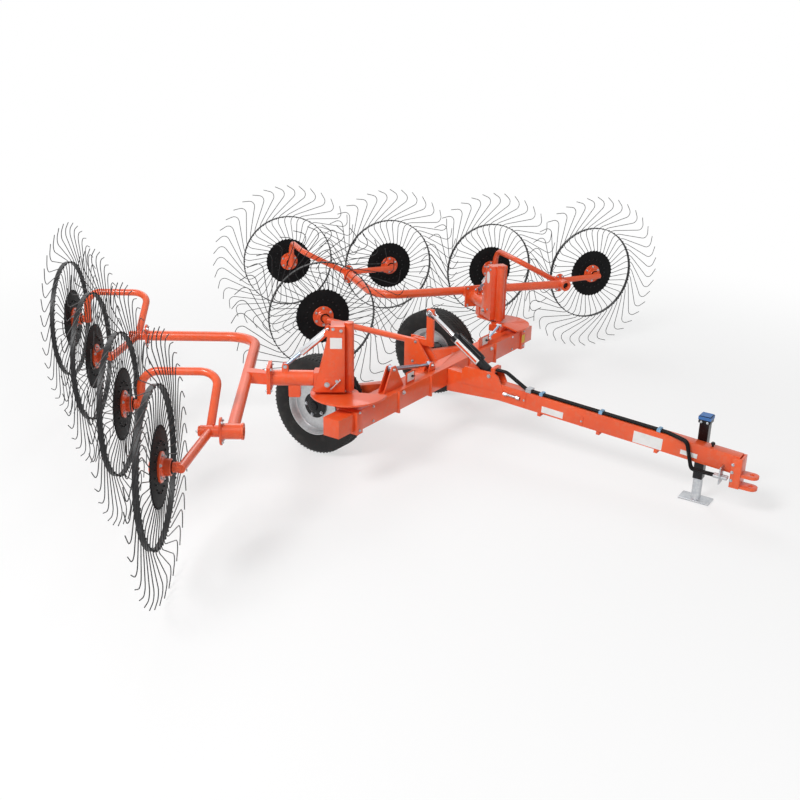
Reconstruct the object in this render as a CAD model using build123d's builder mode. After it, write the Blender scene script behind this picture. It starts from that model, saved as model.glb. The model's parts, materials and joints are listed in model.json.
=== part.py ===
from build123d import *
import math
import os

# A carted V rake for hay: two wings of four tined wheels each, a centre wheel behind the
# cart, two road wheels, a long drawbar and a parking jack. Millimetres, +Z up, -Y is the
# direction of travel, +X is the machine's left, and the origin is on the ground below the
# middle of the whole machine.

os.makedirs("parts", exist_ok=True)

# Layout of the wings
PLANE_ANGLE = 54.5  # degrees from the direction of travel to the plane of a left rake wheel
HUB_HEIGHT = 701.0  # the tine tips just clear the ground
REAR_HUB_X = 1204.0  # rearmost hub, out from the middle
WHEEL_STEP = 852.0  # from one hub to the next, in the wheels' own plane
WHEEL_SETBACK = 388.0  # from one wheel's plane to the next
KICKER_HUB_X = -19.0
KICKER_REACH = 1388.0  # centre wheel's hub, ahead of the rearmost hubs
HITCH_REACH = 4745.0  # end of the hitch, ahead of the rearmost hubs

# Tined wheel
RAKE_RADIUS = 700.0
RING_RADIUS = 416.0
RING_BAND = 30.0
RING_WALL = 6.0
TINE_COUNT = 40
TINE_WIRE = 6.0
TINE_ELBOW_RADIUS = 641.0
CLAMP_RADIUS = 209.0
# Where the wire's corners lie round the wheel, in degrees from where it leaves the clamp
TINE_RING_TURN = 9.5
TINE_ELBOW_TURN = -23.5
TINE_TIP_TURN = -14.5
SEAT_GAP = 0.3

# Hub of a tined wheel
HUB_FLATS = 16  # flats round each hub, because nine of them repeat
HUB_FLANGE_RADIUS = 80.0
HUB_FLANGE_THICKNESS = 12.0
HUB_BARREL_RADIUS = 44.0
HUB_FRONT = 62.0
HUB_BACK = 48.0
HUB_FLOOR = 14.0
AXLE_RADIUS = 17.5
RUNNING_CLEARANCE = 0.05
AXLE_END_PLAY = 2.0

# Rockers, one bent tube for each pair of wheels
ROCKER_TUBE_RADIUS = 24.0
TUBE_FLATS = 12  # flats round the bent tubes, which repeat, so that their bends stay light
ROCKER_BEND = 110.0
ROCKER_RISE = 205.0
ROCKER_STUB = 110.0  # from a wheel's plane to the tube that carries its axle
ROCKER_COLLAR_RADIUS = 27.0
PIVOT_ALONG = 390.0  # from a pair's rear hub to the pivot, in the wheels' plane
PIVOT_SETBACK = 560.0  # from a pair's rear wheel plane to the middle of the pivot
PIVOT_SLEEVE_RADIUS = 33.0
PIVOT_SLEEVE_LENGTH = 106.0
PIVOT_PIN_RADIUS = 20.0
PIVOT_PLAY = 1.0
PIVOT_CAP_RADIUS = 29.0
PIVOT_CAP_THICKNESS = 8.0

# Beam of a wing
BEAM_TUBE_RADIUS = 35.0
BEAM_TUBE_WALL = 6.0
BEAM_BEND = 220.0
BEAM_CORNER_SETBACK = 1390.0
BEAM_END_SETBACK = 1455.0
BEAM_FLANGE_THICKNESS = 12.0
BEAM_FLANGE_HEIGHT = 160.0
BEAM_FLANGE_WIDTH = 84.0
BEAM_CLAMP_RADIUS = 44.0
BEAM_CLAMP_LENGTH = 118.0
BEAM_BORE_DEPTH = 30.0
BEAM_BORE_RADIUS = 26.0

# Arm that carries the beam
ARM_ALONG = 1190.0  # from the rearmost hub, in the wheels' plane
ARM_HEIGHT = 688.0
ARM_TUBE_RADIUS = 50.0
ARM_EYE_WIDTH = 100.0
ARM_EYE_HEIGHT = 104.0
ARM_EYE_TAIL = 36.0
ARM_EYE_LENGTH = 120.0
ARM_PIN_RADIUS = 20.0
ARM_PIN_DROP = 18.0  # below the arm's own middle
ARM_FLANGE_SETBACK = 1560.0  # the faces that are bolted together
ARM_FLANGE_THICKNESS = 12.0
ARM_FLANGE_WIDTH = 150.0
ARM_FLANGE_HEIGHT = 175.0
STUB_ROOT = 92.0
STUB_TIP = 74.0
REST_BLOCK_LENGTH = 75.0
REST_BLOCK_DROP = 58.0
REST_BLOCK_WIDTH = 60.0
REST_BLOCK_SETBACK = 1717.0

# Swinging bracket and its post
POST_SETBACK = 2060.0
POST_RADIUS = 20.0
POST_CAP_RADIUS = 30.0
POST_CAP_THICKNESS = 12.0
BARREL_RADIUS = 32.0
BRACKET_PIN_SETBACK = 1924.0
BRACKET_DROP = 72.0  # its foot, below the arm's middle
BRACKET_RISE = 359.0  # its top, above the arm's middle
BRACKET_OUTER_FOOT_SETBACK = 1840.0
BRACKET_OUTER_TOP_SETBACK = 1948.0
BRACKET_PLATE = 10.0
BRACKET_SIDE_GAP = 6.0
BRACKET_BACK_SETBACK = 2030.0
BRACKET_FRONT_FOOT_RISE = 118.0
BRACKET_FRONT_TOP_RISE = 278.0
BRACKET_STOP_RADIUS = 8.0
BRACKET_STOP_GAP = 4.5
PIN_HEAD_RADIUS = 27.0
PIN_HEAD_THICKNESS = 9.0
SECTOR_GAP = 20.0  # below the bracket's foot
SECTOR_THICKNESS = 12.0
SECTOR_RADIUS = 245.0
SECTOR_FROM = -80.0  # degrees from the wheels' plane, about the post
SECTOR_SPAN = 190.0
SECTOR_HUB_RADIUS = 60.0
SECTOR_HOLE_RADIUS = 9.0
SECTOR_HOLE_COUNT = 5
SECTOR_HOLE_STEP = 14.0
MAST_FOOT = 110.0

# Float strut between arm and bracket
STRUT_ARM_SETBACK = 1660.0
STRUT_ARM_RISE = 80.0  # pin above the arm's middle
STRUT_TOP_SETBACK = 1928.0
STRUT_TOP_RISE = 312.0  # pin above the arm's middle
STRUT_TUBE_RADIUS = 24.0
STRUT_ROD_RADIUS = 12.0
STRUT_TUBE_BORE = STRUT_ROD_RADIUS + RUNNING_CLEARANCE
STRUT_TUBE_SHARE = 0.62
STRUT_ROD_SHARE = 0.55
STRUT_EYE_RADIUS = 17.0
STRUT_EYE_WIDTH = 22.0
STRUT_PIN_RADIUS = 8.0
STRUT_EYE_CLEARANCE = 4.0
STRUT_LUG_PLATE = 8.0
STRUT_LUG_GAP = 3.0
STRUT_LUG_RADIUS = 20.0

# Cart: cross beam, its extensions and the trailing arms
BEAM_REACH = 2458.0
CROSS_DROP = 220.0  # its middle, below the arms' middle
CROSS_WALL = 8.0
CROSS_HALF = 1120.0
CROSS_PLATE_RISE = 14.0
CROSS_COLLAR_WIDTH = 60.0
CROSS_FLANGE_WIDTH = 14.0
CROSS_INNER_FLANGE_X = 260.0
CROSS_OUTER_FLANGE_X = 650.0
EXTENSION_SIZE = 120.0
EXTENSION_HALF = 1277.0
EXTENSION_INSERT = 260.0
EXTENSION_WALL = 8.0
SLIDE_CLEARANCE = 0.5
CROSS_SIZE = EXTENSION_SIZE + 2 * SLIDE_CLEARANCE + 2 * CROSS_WALL
TRAIL_X = 500.0
TRAIL_WIDTH = 90.0
TRAIL_WALL = 8.0
TRAIL_ROOT_HEIGHT = 190.0
TRAIL_TIP_HEIGHT = 110.0
ROAD_WHEEL_X = 733.0
ROAD_WHEEL_REACH = 1930.0
TYRE_RADIUS = 340.0
TYRE_WIDTH = 190.0
TYRE_SHOULDER_DROP = 22.0
TYRE_TREAD_WIDTH = 120.0
BEAD_RADIUS = 203.0
RIM_WIDTH = 170.0
RIM_LIP = 16.0
RIM_WELL_RADIUS = 165.0
RIM_WALL = 6.0
DISH_RADIUS = 100.0
DISH_OFFSET = 30.0
ROAD_HUB_RADIUS = 56.0
ROAD_HUB_LENGTH = 110.0
SPINDLE_RADIUS = 22.5
SPINDLE_COLLAR_RADIUS = 42.0
DUST_CAP_RADIUS = 34.0
DUST_CAP_LENGTH = 26.0

# Tie over the right half of the cross beam
TIE_FAR_X = -641.0
TIE_NEAR_X = -172.0
TIE_FAR_RISE = 208.0  # above the cross beam's middle
TIE_NEAR_RISE = 110.0
TIE_EYE_RADIUS = 22.0
TIE_EYE_WIDTH = 30.0
TIE_BAR_RADIUS = 14.0
TIE_ROD_RADIUS = 10.0
TIE_BAR_SHARE = 0.68
TIE_PIN_RADIUS = 10.0
TIE_PLATE = 8.0
TIE_PLATE_GAP = 1.0
TIE_FAR_FOOT = 230.0
TIE_NEAR_FOOT = 90.0

# Drawbar, hitch and the plates round them
DRAWBAR_WIDTH = 80.0
DRAWBAR_DEPTH = 120.0
DRAWBAR_WALL = 10.0
GUSSET_DROP = 46.0  # how far the drawbar is deeper at the cross beam
GUSSET_LENGTH = 420.0
DRAWBAR_SLOPE = 3.4  # degrees, falling towards the tractor
DRAWBAR_SHORT = 123.0  # how far it ends behind the hitch's end
HITCH_PLATE = 14.0
HITCH_CHEEK_BACK = 131.0  # their middle, behind the hitch's end
HITCH_CHEEK_LENGTH = 62.0
HITCH_CHEEK_HEIGHT = 197.0
HITCH_JAW_THICKNESS = 18.0
HITCH_JAW_GAP = 57.0
HITCH_JAW_WIDTH = 84.0
HITCH_PIN_RADIUS = 14.0
HITCH_JAW_DROP = 224.0  # below the cross beam's middle
GOOSENECK_PLATE = 10.0
GOOSENECK_REAR = 216.0  # its foot, behind the cylinder's pin
GOOSENECK_FRONT = 124.0  # its foot, ahead of the pin
GOOSENECK_NOSE = 62.0  # from the pin to the top front corner, along the drawbar
GOOSENECK_TOP_RISE = 30.0  # above the pin
GOOSENECK_CORNER = 24.0

# Hoses along the drawbar, their clamps and the rack for their couplers
HOSE_RADIUS = 8.0
HOSE_FLATS = 6
HOSE_BEND = 64.0
HOSE_ROUTES = (
    # Each place: x, reach ahead of the rearmost hubs, height
    (
        (-6.0, 2910.0, 592.0),
        (-6.0, 2985.0, 592.0),
        (-6.0, 3150.0, 501.5),
        (-6.0, 4150.0, 442.5),
        (-60.0, 4300.0, 435.0),
        (-60.0, 4345.0, 262.0),
        (-60.0, 4490.0, 262.0),
    ),
    (
        (-26.0, 2910.0, 592.0),
        (-26.0, 2985.0, 592.0),
        (-26.0, 3150.0, 501.5),
        (-26.0, 4150.0, 442.5),
        (-84.0, 4300.0, 435.0),
        (-84.0, 4345.0, 262.0),
        (-84.0, 4490.0, 262.0),
    ),
)
HOSE_SLOT = 0.6  # how much wider a clamp's slot is than its hose
CLAMP_REACHES = (3266.0, 3700.0, 4100.0)
CLAMP_LENGTH = 24.0
CLAMP_RISE = 24.0
CLAMP_FROM_X = -39.0
CLAMP_TO_X = 8.0
MANIFOLD_AHEAD = 14.0  # of the cylinder's pin
MANIFOLD_LENGTH = 30.0
MANIFOLD_HEIGHT = 32.0
RACK_BACK = 215.0  # behind the hitch's end
RACK_PLATE = 8.0
RACK_HEIGHT = 110.0
RACK_WIDTH = 70.0
RACK_DROP = 191.0  # its middle, below the cross beam's
COUPLER_RADIUS = 11.0
COUPLER_LENGTH = 85.0

# Centre wheel's post, arm and cylinder
KICKER_POST_REACH = 2215.0
KICKER_POST_WIDTH = 110.0
KICKER_PIN_RISE = 194.0  # above the cross beam's middle
KICKER_PIN_RADIUS = 15.0
KICKER_PLATE = 12.0
KICKER_ARM_RADIUS = 22.0
KICKER_KNUCKLE_WIDTH = 60.0
KICKER_SIDE_GAP = 6.0
LEVER_REACH = 2349.0
LEVER_PIN_RISE = 426.0
LEVER_WIDTH = 56.0
LEVER_THICKNESS = 20.0
CYLINDER_PIN_REACH = 2866.0
CYLINDER_PIN_RISE = 78.0
CYLINDER_PIN_RADIUS = 12.0
CYLINDER_RADIUS = 34.0
CYLINDER_BORE = 26.0
PORT_TUBE_RADIUS = 9.0
PORT_TUBE_RISE = 50.0  # from the barrel's middle
PORT_TUBE_SHARES = (0.2, 0.56)  # of the line from pin to pin
PORT_BLOCK = 26.0
CYLINDER_SHARE = 0.62
ROD_RADIUS = 15.0
ROD_SHARE = 0.55
CYLINDER_EYE_RADIUS = 24.0
CYLINDER_EYE_WIDTH = 68.0
ROD_EYE_CLEARANCE = 4.0

# Parking jack
JACK_BACK = 385.0  # behind the hitch's end
JACK_TUBE = 60.0
JACK_LEG = 50.0
JACK_CLEARANCE = 0.5
JACK_TUBE_FOOT = 153.0
JACK_TUBE_TOP = 535.0
JACK_CAP_SIZE = 76.0
JACK_CAP_HEIGHT = 46.0
JACK_FOOT_LENGTH = 200.0
JACK_FOOT_WIDTH = 110.0
JACK_FOOT_THICKNESS = 10.0
JACK_LEG_INSERT = 120.0
JACK_COLLAR = 14.0

angle = math.radians(PLANE_ANGLE)
along = Vector(math.sin(angle), -math.cos(angle), 0)  # in a left wheel's plane, forward and out
astern = Vector(math.cos(angle), math.sin(angle), 0)  # square to it, rearward and out
upward = Vector(0, 0, 1)
rear_y = (HITCH_REACH - RAKE_RADIUS * math.cos(angle)) / 2
cross_height = ARM_HEIGHT - CROSS_DROP
bracket_foot = ARM_HEIGHT - BRACKET_DROP
bracket_top = ARM_HEIGHT + BRACKET_RISE
bracket_front_foot = ARM_HEIGHT + BRACKET_FRONT_FOOT_RISE
bracket_front_top = ARM_HEIGHT + BRACKET_FRONT_TOP_RISE
sector_top = bracket_foot - SECTOR_GAP
strut_top_height = ARM_HEIGHT + STRUT_TOP_RISE
tie_far_height = cross_height + TIE_FAR_RISE
tie_near_height = cross_height + TIE_NEAR_RISE
hitch_jaw_height = cross_height - HITCH_JAW_DROP
rack_height = cross_height - RACK_DROP
kicker_pin_height = cross_height + KICKER_PIN_RISE
lever_pin_height = cross_height + LEVER_PIN_RISE
cylinder_pin_height = cross_height + CYLINDER_PIN_RISE
drawbar_end_reach = HITCH_REACH - DRAWBAR_SHORT
cheek_reach = HITCH_REACH - HITCH_CHEEK_BACK
rack_reach = HITCH_REACH - RACK_BACK
jack_reach = HITCH_REACH - JACK_BACK
manifold_reach = CYLINDER_PIN_REACH + MANIFOLD_AHEAD


def ahead(reach):
    """Y of a place so far ahead of the rearmost hubs."""
    return rear_y - reach


def wing(step, setback, height):
    """A place on the left wing, from the rearmost hub, in the wheels' plane and ahead of it."""
    return Vector(REAR_HUB_X, rear_y, height) + along * step - astern * setback


def facing_ahead(place):
    """Plane of a left rake wheel: x along it, y up, z square to it and ahead."""
    return Plane(origin=place, x_dir=along, z_dir=-astern)


def across(place):
    """Upright plane square to the wheels: x ahead out of their plane, y up, z along them."""
    return Plane(origin=place, x_dir=-astern, z_dir=-along)


def polar_point(radius, degrees):
    return Vector(radius * math.cos(math.radians(degrees)), radius * math.sin(math.radians(degrees)))


def mirrored(piece):
    with BuildPart() as other:
        mirror(piece, about=Plane.YZ)
    return other.part


def save(piece, name):
    piece.label = name
    export_step(piece, f"parts/{name}.step")


def round_bar(radius, start, end):
    """A straight round bar between two places."""
    reach = end - start
    with BuildPart() as bar:
        with BuildSketch(Plane(origin=start, z_dir=reach)):
            Circle(radius)
        extrude(amount=reach.length)
    return bar.part


def bent_tube(radius, bends, places, flats=TUBE_FLATS):
    """A tube of many flats along straight runs joined by tangent bends."""
    with BuildPart() as tube:
        with BuildLine() as route:
            FilletPolyline(*places, radius=bends)
        with BuildSketch(Plane(origin=route.line @ 0, z_dir=route.line % 0)):
            RegularPolygon(radius, flats, major_radius=False)
        sweep(path=route.line)
    return tube.part


def straight_tube(radius, start, end):
    """A straight tube of the same many flats."""
    reach = end - start
    with BuildPart() as tube:
        with BuildSketch(Plane(origin=start, z_dir=reach)):
            RegularPolygon(radius, TUBE_FLATS, major_radius=False)
        extrude(amount=reach.length)
    return tube.part


def block(plane, width, height, start, end):
    """A rectangle centred on a plane, from one height above it to another."""
    with BuildPart() as body:
        with BuildSketch(plane.offset(start)):
            Rectangle(width, height)
        extrude(amount=end - start)
    return body.part


# Tined wheel: clamp disc and tines, ring, and hub with a blind bore
bore_radius = AXLE_RADIUS + RUNNING_CLEARANCE
tine_turns = (
    # radius, degrees round the wheel
    (CLAMP_RADIUS - TINE_WIRE, 0),
    (RING_RADIUS, TINE_RING_TURN),
    (TINE_ELBOW_RADIUS, TINE_ELBOW_TURN),
    (RAKE_RADIUS, TINE_TIP_TURN),
)


def ribbon(places, width):
    """Outline of a flat strip along straight runs, with mitred corners."""
    near, far = [], []
    for index, place in enumerate(places):
        runs = [
            (places[end] - places[end - 1]).normalized()
            for end in (index, index + 1)
            if 0 < end < len(places)
        ]
        mitre = sum(runs, Vector()).normalized()
        reach = width / 2 / mitre.dot(runs[0])
        near.append(place + Vector(-mitre.Y, mitre.X) * reach)
        far.append(place - Vector(-mitre.Y, mitre.X) * reach)
    return near + far[::-1]


tine_places = [polar_point(radius, turn - TINE_TIP_TURN) for radius, turn in tine_turns]
with BuildPart() as tined_disc:
    with BuildSketch(Plane.XY.offset(-TINE_WIRE / 2)):
        RegularPolygon(CLAMP_RADIUS, TINE_COUNT)
        with PolarLocations(0, TINE_COUNT):
            Polygon(*ribbon(tine_places, TINE_WIRE), align=None)
        RegularPolygon(HUB_BARREL_RADIUS + SEAT_GAP, HUB_FLATS, major_radius=False, mode=Mode.SUBTRACT)
    extrude(amount=TINE_WIRE)

ring_face = -TINE_WIRE / 2 - SEAT_GAP
with BuildPart() as ring:
    with BuildSketch(Plane.XY.offset(ring_face - RING_BAND)):
        RegularPolygon(RING_RADIUS, TINE_COUNT)
        RegularPolygon(RING_RADIUS - RING_WALL, TINE_COUNT, mode=Mode.SUBTRACT)
    extrude(amount=RING_BAND)

flange_face = TINE_WIRE / 2 + SEAT_GAP
with BuildPart() as hub:
    with BuildSketch(Plane.XY.offset(-HUB_BACK)):
        RegularPolygon(HUB_BARREL_RADIUS, HUB_FLATS, major_radius=False)
    extrude(amount=HUB_BACK + HUB_FRONT)
    with BuildSketch(Plane.XY.offset(flange_face)):
        RegularPolygon(HUB_FLANGE_RADIUS, HUB_FLATS, major_radius=False)
    extrude(amount=HUB_FLANGE_THICKNESS)
    with BuildSketch(Plane.XY.offset(HUB_FRONT)):
        Circle(bore_radius)
    extrude(amount=-(HUB_FRONT + HUB_BACK - HUB_FLOOR), mode=Mode.SUBTRACT)

wheel_solids = (tined_disc.part, ring.part, hub.part)


def rake_wheel(place):
    """A tined wheel at its hub's place on the left wing."""
    seat = facing_ahead(place).location
    with BuildPart() as wheel:
        for solid in wheel_solids:
            add(solid.moved(seat))
    return wheel.part


axle_tip = HUB_BACK - HUB_FLOOR - AXLE_END_PLAY  # behind the wheel's plane
pivot_half = PIVOT_SLEEVE_LENGTH / 2


def axle(step, setback, tube_setback):
    """Axle of a tined wheel, from its tube back into the hub, with a collar before the hub."""
    collar_setback = setback + HUB_FRONT + AXLE_END_PLAY
    root = wing(step, tube_setback, HUB_HEIGHT)
    with BuildPart() as pin:
        add(round_bar(AXLE_RADIUS, root, wing(step, setback - axle_tip, HUB_HEIGHT)))
        add(straight_tube(ROCKER_COLLAR_RADIUS, root, wing(step, collar_setback, HUB_HEIGHT)))
    return pin.part


def rocker(step, setback):
    """The bent tube that carries a pair of wheels, whose rear wheel is at this step and setback."""
    pivot_step = step + PIVOT_ALONG
    pivot_setback = setback + PIVOT_SETBACK
    near_tube = setback + ROCKER_STUB
    far_tube = setback + WHEEL_SETBACK + ROCKER_STUB
    top = HUB_HEIGHT + ROCKER_RISE
    pivot = wing(pivot_step, pivot_setback, HUB_HEIGHT)
    with BuildPart() as tube:
        add(
            bent_tube(
                ROCKER_TUBE_RADIUS,
                ROCKER_BEND,
                (
                    wing(step, near_tube, HUB_HEIGHT - ROCKER_TUBE_RADIUS),
                    wing(step, near_tube, top),
                    wing(step, pivot_setback, top),
                    pivot,
                ),
            )
        )
        add(axle(step, setback, near_tube))
        far_end = step + WHEEL_STEP + ROCKER_TUBE_RADIUS
        add(straight_tube(ROCKER_TUBE_RADIUS, pivot, wing(far_end, far_tube, HUB_HEIGHT)))
        add(axle(step + WHEEL_STEP, setback + WHEEL_SETBACK, far_tube))
        sleeve_back = wing(pivot_step, pivot_setback - pivot_half, HUB_HEIGHT)
        sleeve_front = wing(pivot_step, pivot_setback + pivot_half, HUB_HEIGHT)
        add(straight_tube(PIVOT_SLEEVE_RADIUS, sleeve_back, sleeve_front))
        add(round_bar(PIVOT_PIN_RADIUS + RUNNING_CLEARANCE, sleeve_back, sleeve_front), mode=Mode.SUBTRACT)
    return tube.part


def pivot_stub(step, setback):
    """Flange, pin and end cap that hold a rocker's sleeve."""
    pivot_step = step + PIVOT_ALONG
    flange_setback = setback + PIVOT_SETBACK + pivot_half + PIVOT_PLAY
    cap_setback = setback + PIVOT_SETBACK - pivot_half - PIVOT_PLAY
    flange_place = wing(pivot_step, flange_setback, HUB_HEIGHT)
    with BuildPart() as stub:
        with BuildSketch(facing_ahead(flange_place)):
            SlotOverall(BEAM_FLANGE_HEIGHT, BEAM_FLANGE_WIDTH, rotation=90)
        extrude(amount=BEAM_FLANGE_THICKNESS)
        pin_end = wing(pivot_step, cap_setback - PIVOT_CAP_THICKNESS, HUB_HEIGHT)
        add(round_bar(PIVOT_PIN_RADIUS, flange_place, pin_end))
        add(straight_tube(PIVOT_CAP_RADIUS, wing(pivot_step, cap_setback, HUB_HEIGHT), pin_end))
    return stub.part


front_pair_step = 2 * WHEEL_STEP
front_pair_setback = 2 * WHEEL_SETBACK
rear_flange_end = PIVOT_SETBACK + pivot_half + PIVOT_PLAY + BEAM_FLANGE_THICKNESS
front_flange_end = front_pair_setback + rear_flange_end
front_pivot_step = front_pair_step + PIVOT_ALONG

# Left beam: round tube with one wide bend, a pivot at each end and a flanged stub
stub_face = ARM_FLANGE_SETBACK - ARM_FLANGE_THICKNESS
leg_share = (ARM_ALONG - PIVOT_ALONG) / (front_pivot_step - PIVOT_ALONG)
leg_setback = BEAM_CORNER_SETBACK + leg_share * (BEAM_END_SETBACK - BEAM_CORNER_SETBACK)
beam_places = (
    wing(PIVOT_ALONG, rear_flange_end, HUB_HEIGHT),
    wing(PIVOT_ALONG, BEAM_CORNER_SETBACK, HUB_HEIGHT),
    wing(front_pivot_step, BEAM_END_SETBACK, HUB_HEIGHT),
)
with BuildPart() as left_beam:
    add(bent_tube(BEAM_TUBE_RADIUS, BEAM_BEND, beam_places))
    add(bent_tube(BEAM_TUBE_RADIUS - BEAM_TUBE_WALL, BEAM_BEND, beam_places), mode=Mode.SUBTRACT)
    add(pivot_stub(0, 0))
    add(pivot_stub(front_pair_step, front_pair_setback))
    clamp_back = wing(front_pivot_step, front_flange_end, HUB_HEIGHT)
    clamp_front = wing(front_pivot_step, front_flange_end + BEAM_CLAMP_LENGTH, HUB_HEIGHT)
    add(straight_tube(BEAM_CLAMP_RADIUS, clamp_back, clamp_front))
    add(
        straight_tube(BEAM_BORE_RADIUS, clamp_front, clamp_front + astern * BEAM_BORE_DEPTH),
        mode=Mode.SUBTRACT,
    )
    with BuildSketch(facing_ahead(wing(ARM_ALONG, leg_setback, HUB_HEIGHT))):
        Rectangle(STUB_ROOT, STUB_TIP)
    with BuildSketch(facing_ahead(wing(ARM_ALONG, stub_face, ARM_HEIGHT))):
        Rectangle(STUB_TIP, STUB_TIP)
    loft()
    add(
        block(
            facing_ahead(wing(ARM_ALONG, ARM_FLANGE_SETBACK, ARM_HEIGHT)),
            ARM_FLANGE_WIDTH,
            ARM_FLANGE_HEIGHT,
            -ARM_FLANGE_THICKNESS,
            0,
        )
    )

# Left arm: flange, round tube, eye block, lugs for the float strut and the block under it
eye_end_setback = BRACKET_PIN_SETBACK + ARM_EYE_TAIL
eye_start_setback = eye_end_setback - ARM_EYE_LENGTH
arm_pin_height = ARM_HEIGHT - ARM_PIN_DROP
strut_pin_height = ARM_HEIGHT + STRUT_ARM_RISE
with BuildPart() as left_arm:
    arm_plane = facing_ahead(wing(ARM_ALONG, ARM_FLANGE_SETBACK, ARM_HEIGHT))
    add(block(arm_plane, ARM_FLANGE_WIDTH, ARM_FLANGE_HEIGHT, 0, ARM_FLANGE_THICKNESS))
    add(
        straight_tube(
            ARM_TUBE_RADIUS,
            wing(ARM_ALONG, ARM_FLANGE_SETBACK, ARM_HEIGHT),
            wing(ARM_ALONG, eye_start_setback, ARM_HEIGHT),
        )
    )
    eye_plane = facing_ahead(wing(ARM_ALONG, eye_start_setback, ARM_HEIGHT))
    add(block(eye_plane, ARM_EYE_WIDTH, ARM_EYE_HEIGHT, 0, ARM_EYE_LENGTH))
    pin_place = wing(ARM_ALONG, BRACKET_PIN_SETBACK, arm_pin_height)
    add(
        round_bar(
            ARM_PIN_RADIUS + RUNNING_CLEARANCE,
            pin_place - along * ARM_EYE_WIDTH,
            pin_place + along * ARM_EYE_WIDTH,
        ),
        mode=Mode.SUBTRACT,
    )
    rest_middle = ARM_HEIGHT - ARM_TUBE_RADIUS - REST_BLOCK_DROP / 2
    rest_plane = across(wing(ARM_ALONG, REST_BLOCK_SETBACK, rest_middle))
    add(
        block(
            rest_plane,
            REST_BLOCK_LENGTH,
            REST_BLOCK_DROP + ARM_TUBE_RADIUS / 2,
            -REST_BLOCK_WIDTH / 2,
            REST_BLOCK_WIDTH / 2,
        )
    )
    lug_inner = STRUT_EYE_WIDTH / 2 + STRUT_LUG_GAP
    for side in (-1, 1):
        lug_plane = across(wing(ARM_ALONG, STRUT_ARM_SETBACK, strut_pin_height)).offset(side * lug_inner)
        with BuildSketch(lug_plane):
            with Locations((0, -STRUT_LUG_RADIUS)):
                SlotOverall(4 * STRUT_LUG_RADIUS, 2 * STRUT_LUG_RADIUS, rotation=90)
            Circle(STRUT_PIN_RADIUS + STRUT_EYE_CLEARANCE, mode=Mode.SUBTRACT)
        extrude(amount=side * STRUT_LUG_PLATE)

# Left bracket: two side plates on a hinge barrel, with the arm's pin and its stop
plate_inner = ARM_EYE_WIDTH / 2 + BRACKET_SIDE_GAP
plate_outer = plate_inner + BRACKET_PLATE
post_foot = wing(ARM_ALONG, POST_SETBACK, 0)
bracket_outline = (
    (BRACKET_OUTER_FOOT_SETBACK, bracket_foot),
    (BRACKET_BACK_SETBACK, bracket_foot),
    (BRACKET_BACK_SETBACK, bracket_top),
    (BRACKET_OUTER_TOP_SETBACK, bracket_top),
)
stop_height = ARM_HEIGHT - ARM_TUBE_RADIUS - BRACKET_STOP_GAP - BRACKET_STOP_RADIUS
stop_setback = eye_start_setback
with BuildPart() as left_bracket:
    ground_plane = across(wing(ARM_ALONG, 0, 0))
    for side in (-1, 1):
        with BuildSketch(ground_plane.offset(side * plate_inner)):
            Polygon(*bracket_outline, align=None)
        extrude(amount=side * BRACKET_PLATE)
    for height in (bracket_top - BRACKET_PLATE / 2,):
        with BuildSketch(ground_plane.offset(-plate_inner)):
            with Locations(((BRACKET_OUTER_TOP_SETBACK + BRACKET_BACK_SETBACK) / 2, height)):
                Rectangle(BRACKET_BACK_SETBACK - BRACKET_OUTER_TOP_SETBACK, BRACKET_PLATE)
        extrude(amount=2 * plate_inner)
    with BuildSketch(ground_plane.offset(-plate_outer)):
        with Locations((BRACKET_BACK_SETBACK, (bracket_foot + bracket_top) / 2)):
            Rectangle(BRACKET_PLATE, bracket_top - bracket_foot)
    extrude(amount=2 * plate_outer)
    with BuildSketch(Plane(origin=post_foot + upward * bracket_foot)):
        Circle(BARREL_RADIUS)
    extrude(amount=bracket_top - bracket_foot)
    add(round_bar(ARM_PIN_RADIUS, pin_place - along * plate_inner, pin_place + along * plate_inner))
    for side in (-1, 1):
        face = pin_place + along * (side * plate_outer)
        add(straight_tube(PIN_HEAD_RADIUS, face, face + along * (side * PIN_HEAD_THICKNESS)))
    stop_place = wing(ARM_ALONG, stop_setback, stop_height)
    half_stop = along * plate_inner
    add(straight_tube(BRACKET_STOP_RADIUS, stop_place - half_stop, stop_place + half_stop))
    strut_top = wing(ARM_ALONG, STRUT_TOP_SETBACK, strut_top_height)
    lean = (BRACKET_OUTER_TOP_SETBACK - BRACKET_OUTER_FOOT_SETBACK) / (bracket_top - bracket_foot)
    front_foot = BRACKET_OUTER_FOOT_SETBACK + lean * (bracket_front_foot - bracket_foot)
    front_top = BRACKET_OUTER_FOOT_SETBACK + lean * (bracket_front_top - bracket_foot)
    with BuildSketch(ground_plane.offset(-plate_inner)):
        Polygon(
            (front_foot, bracket_front_foot),
            (front_foot + BRACKET_PLATE, bracket_front_foot),
            (front_top + BRACKET_PLATE, bracket_front_top),
            (front_top, bracket_front_top),
            align=None,
        )
    extrude(amount=2 * plate_inner)
    for side in (-1, 1):
        with BuildSketch(ground_plane.offset(side * plate_inner)):
            with Locations((STRUT_TOP_SETBACK, strut_top_height)):
                RegularPolygon(STRUT_LUG_RADIUS, TUBE_FLATS, major_radius=False)
        extrude(amount=side * BRACKET_PLATE)
    with BuildSketch(Plane(origin=post_foot + upward * bracket_foot)):
        Circle(POST_RADIUS + RUNNING_CLEARANCE)
    extrude(amount=bracket_top - bracket_foot, mode=Mode.SUBTRACT)

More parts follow.
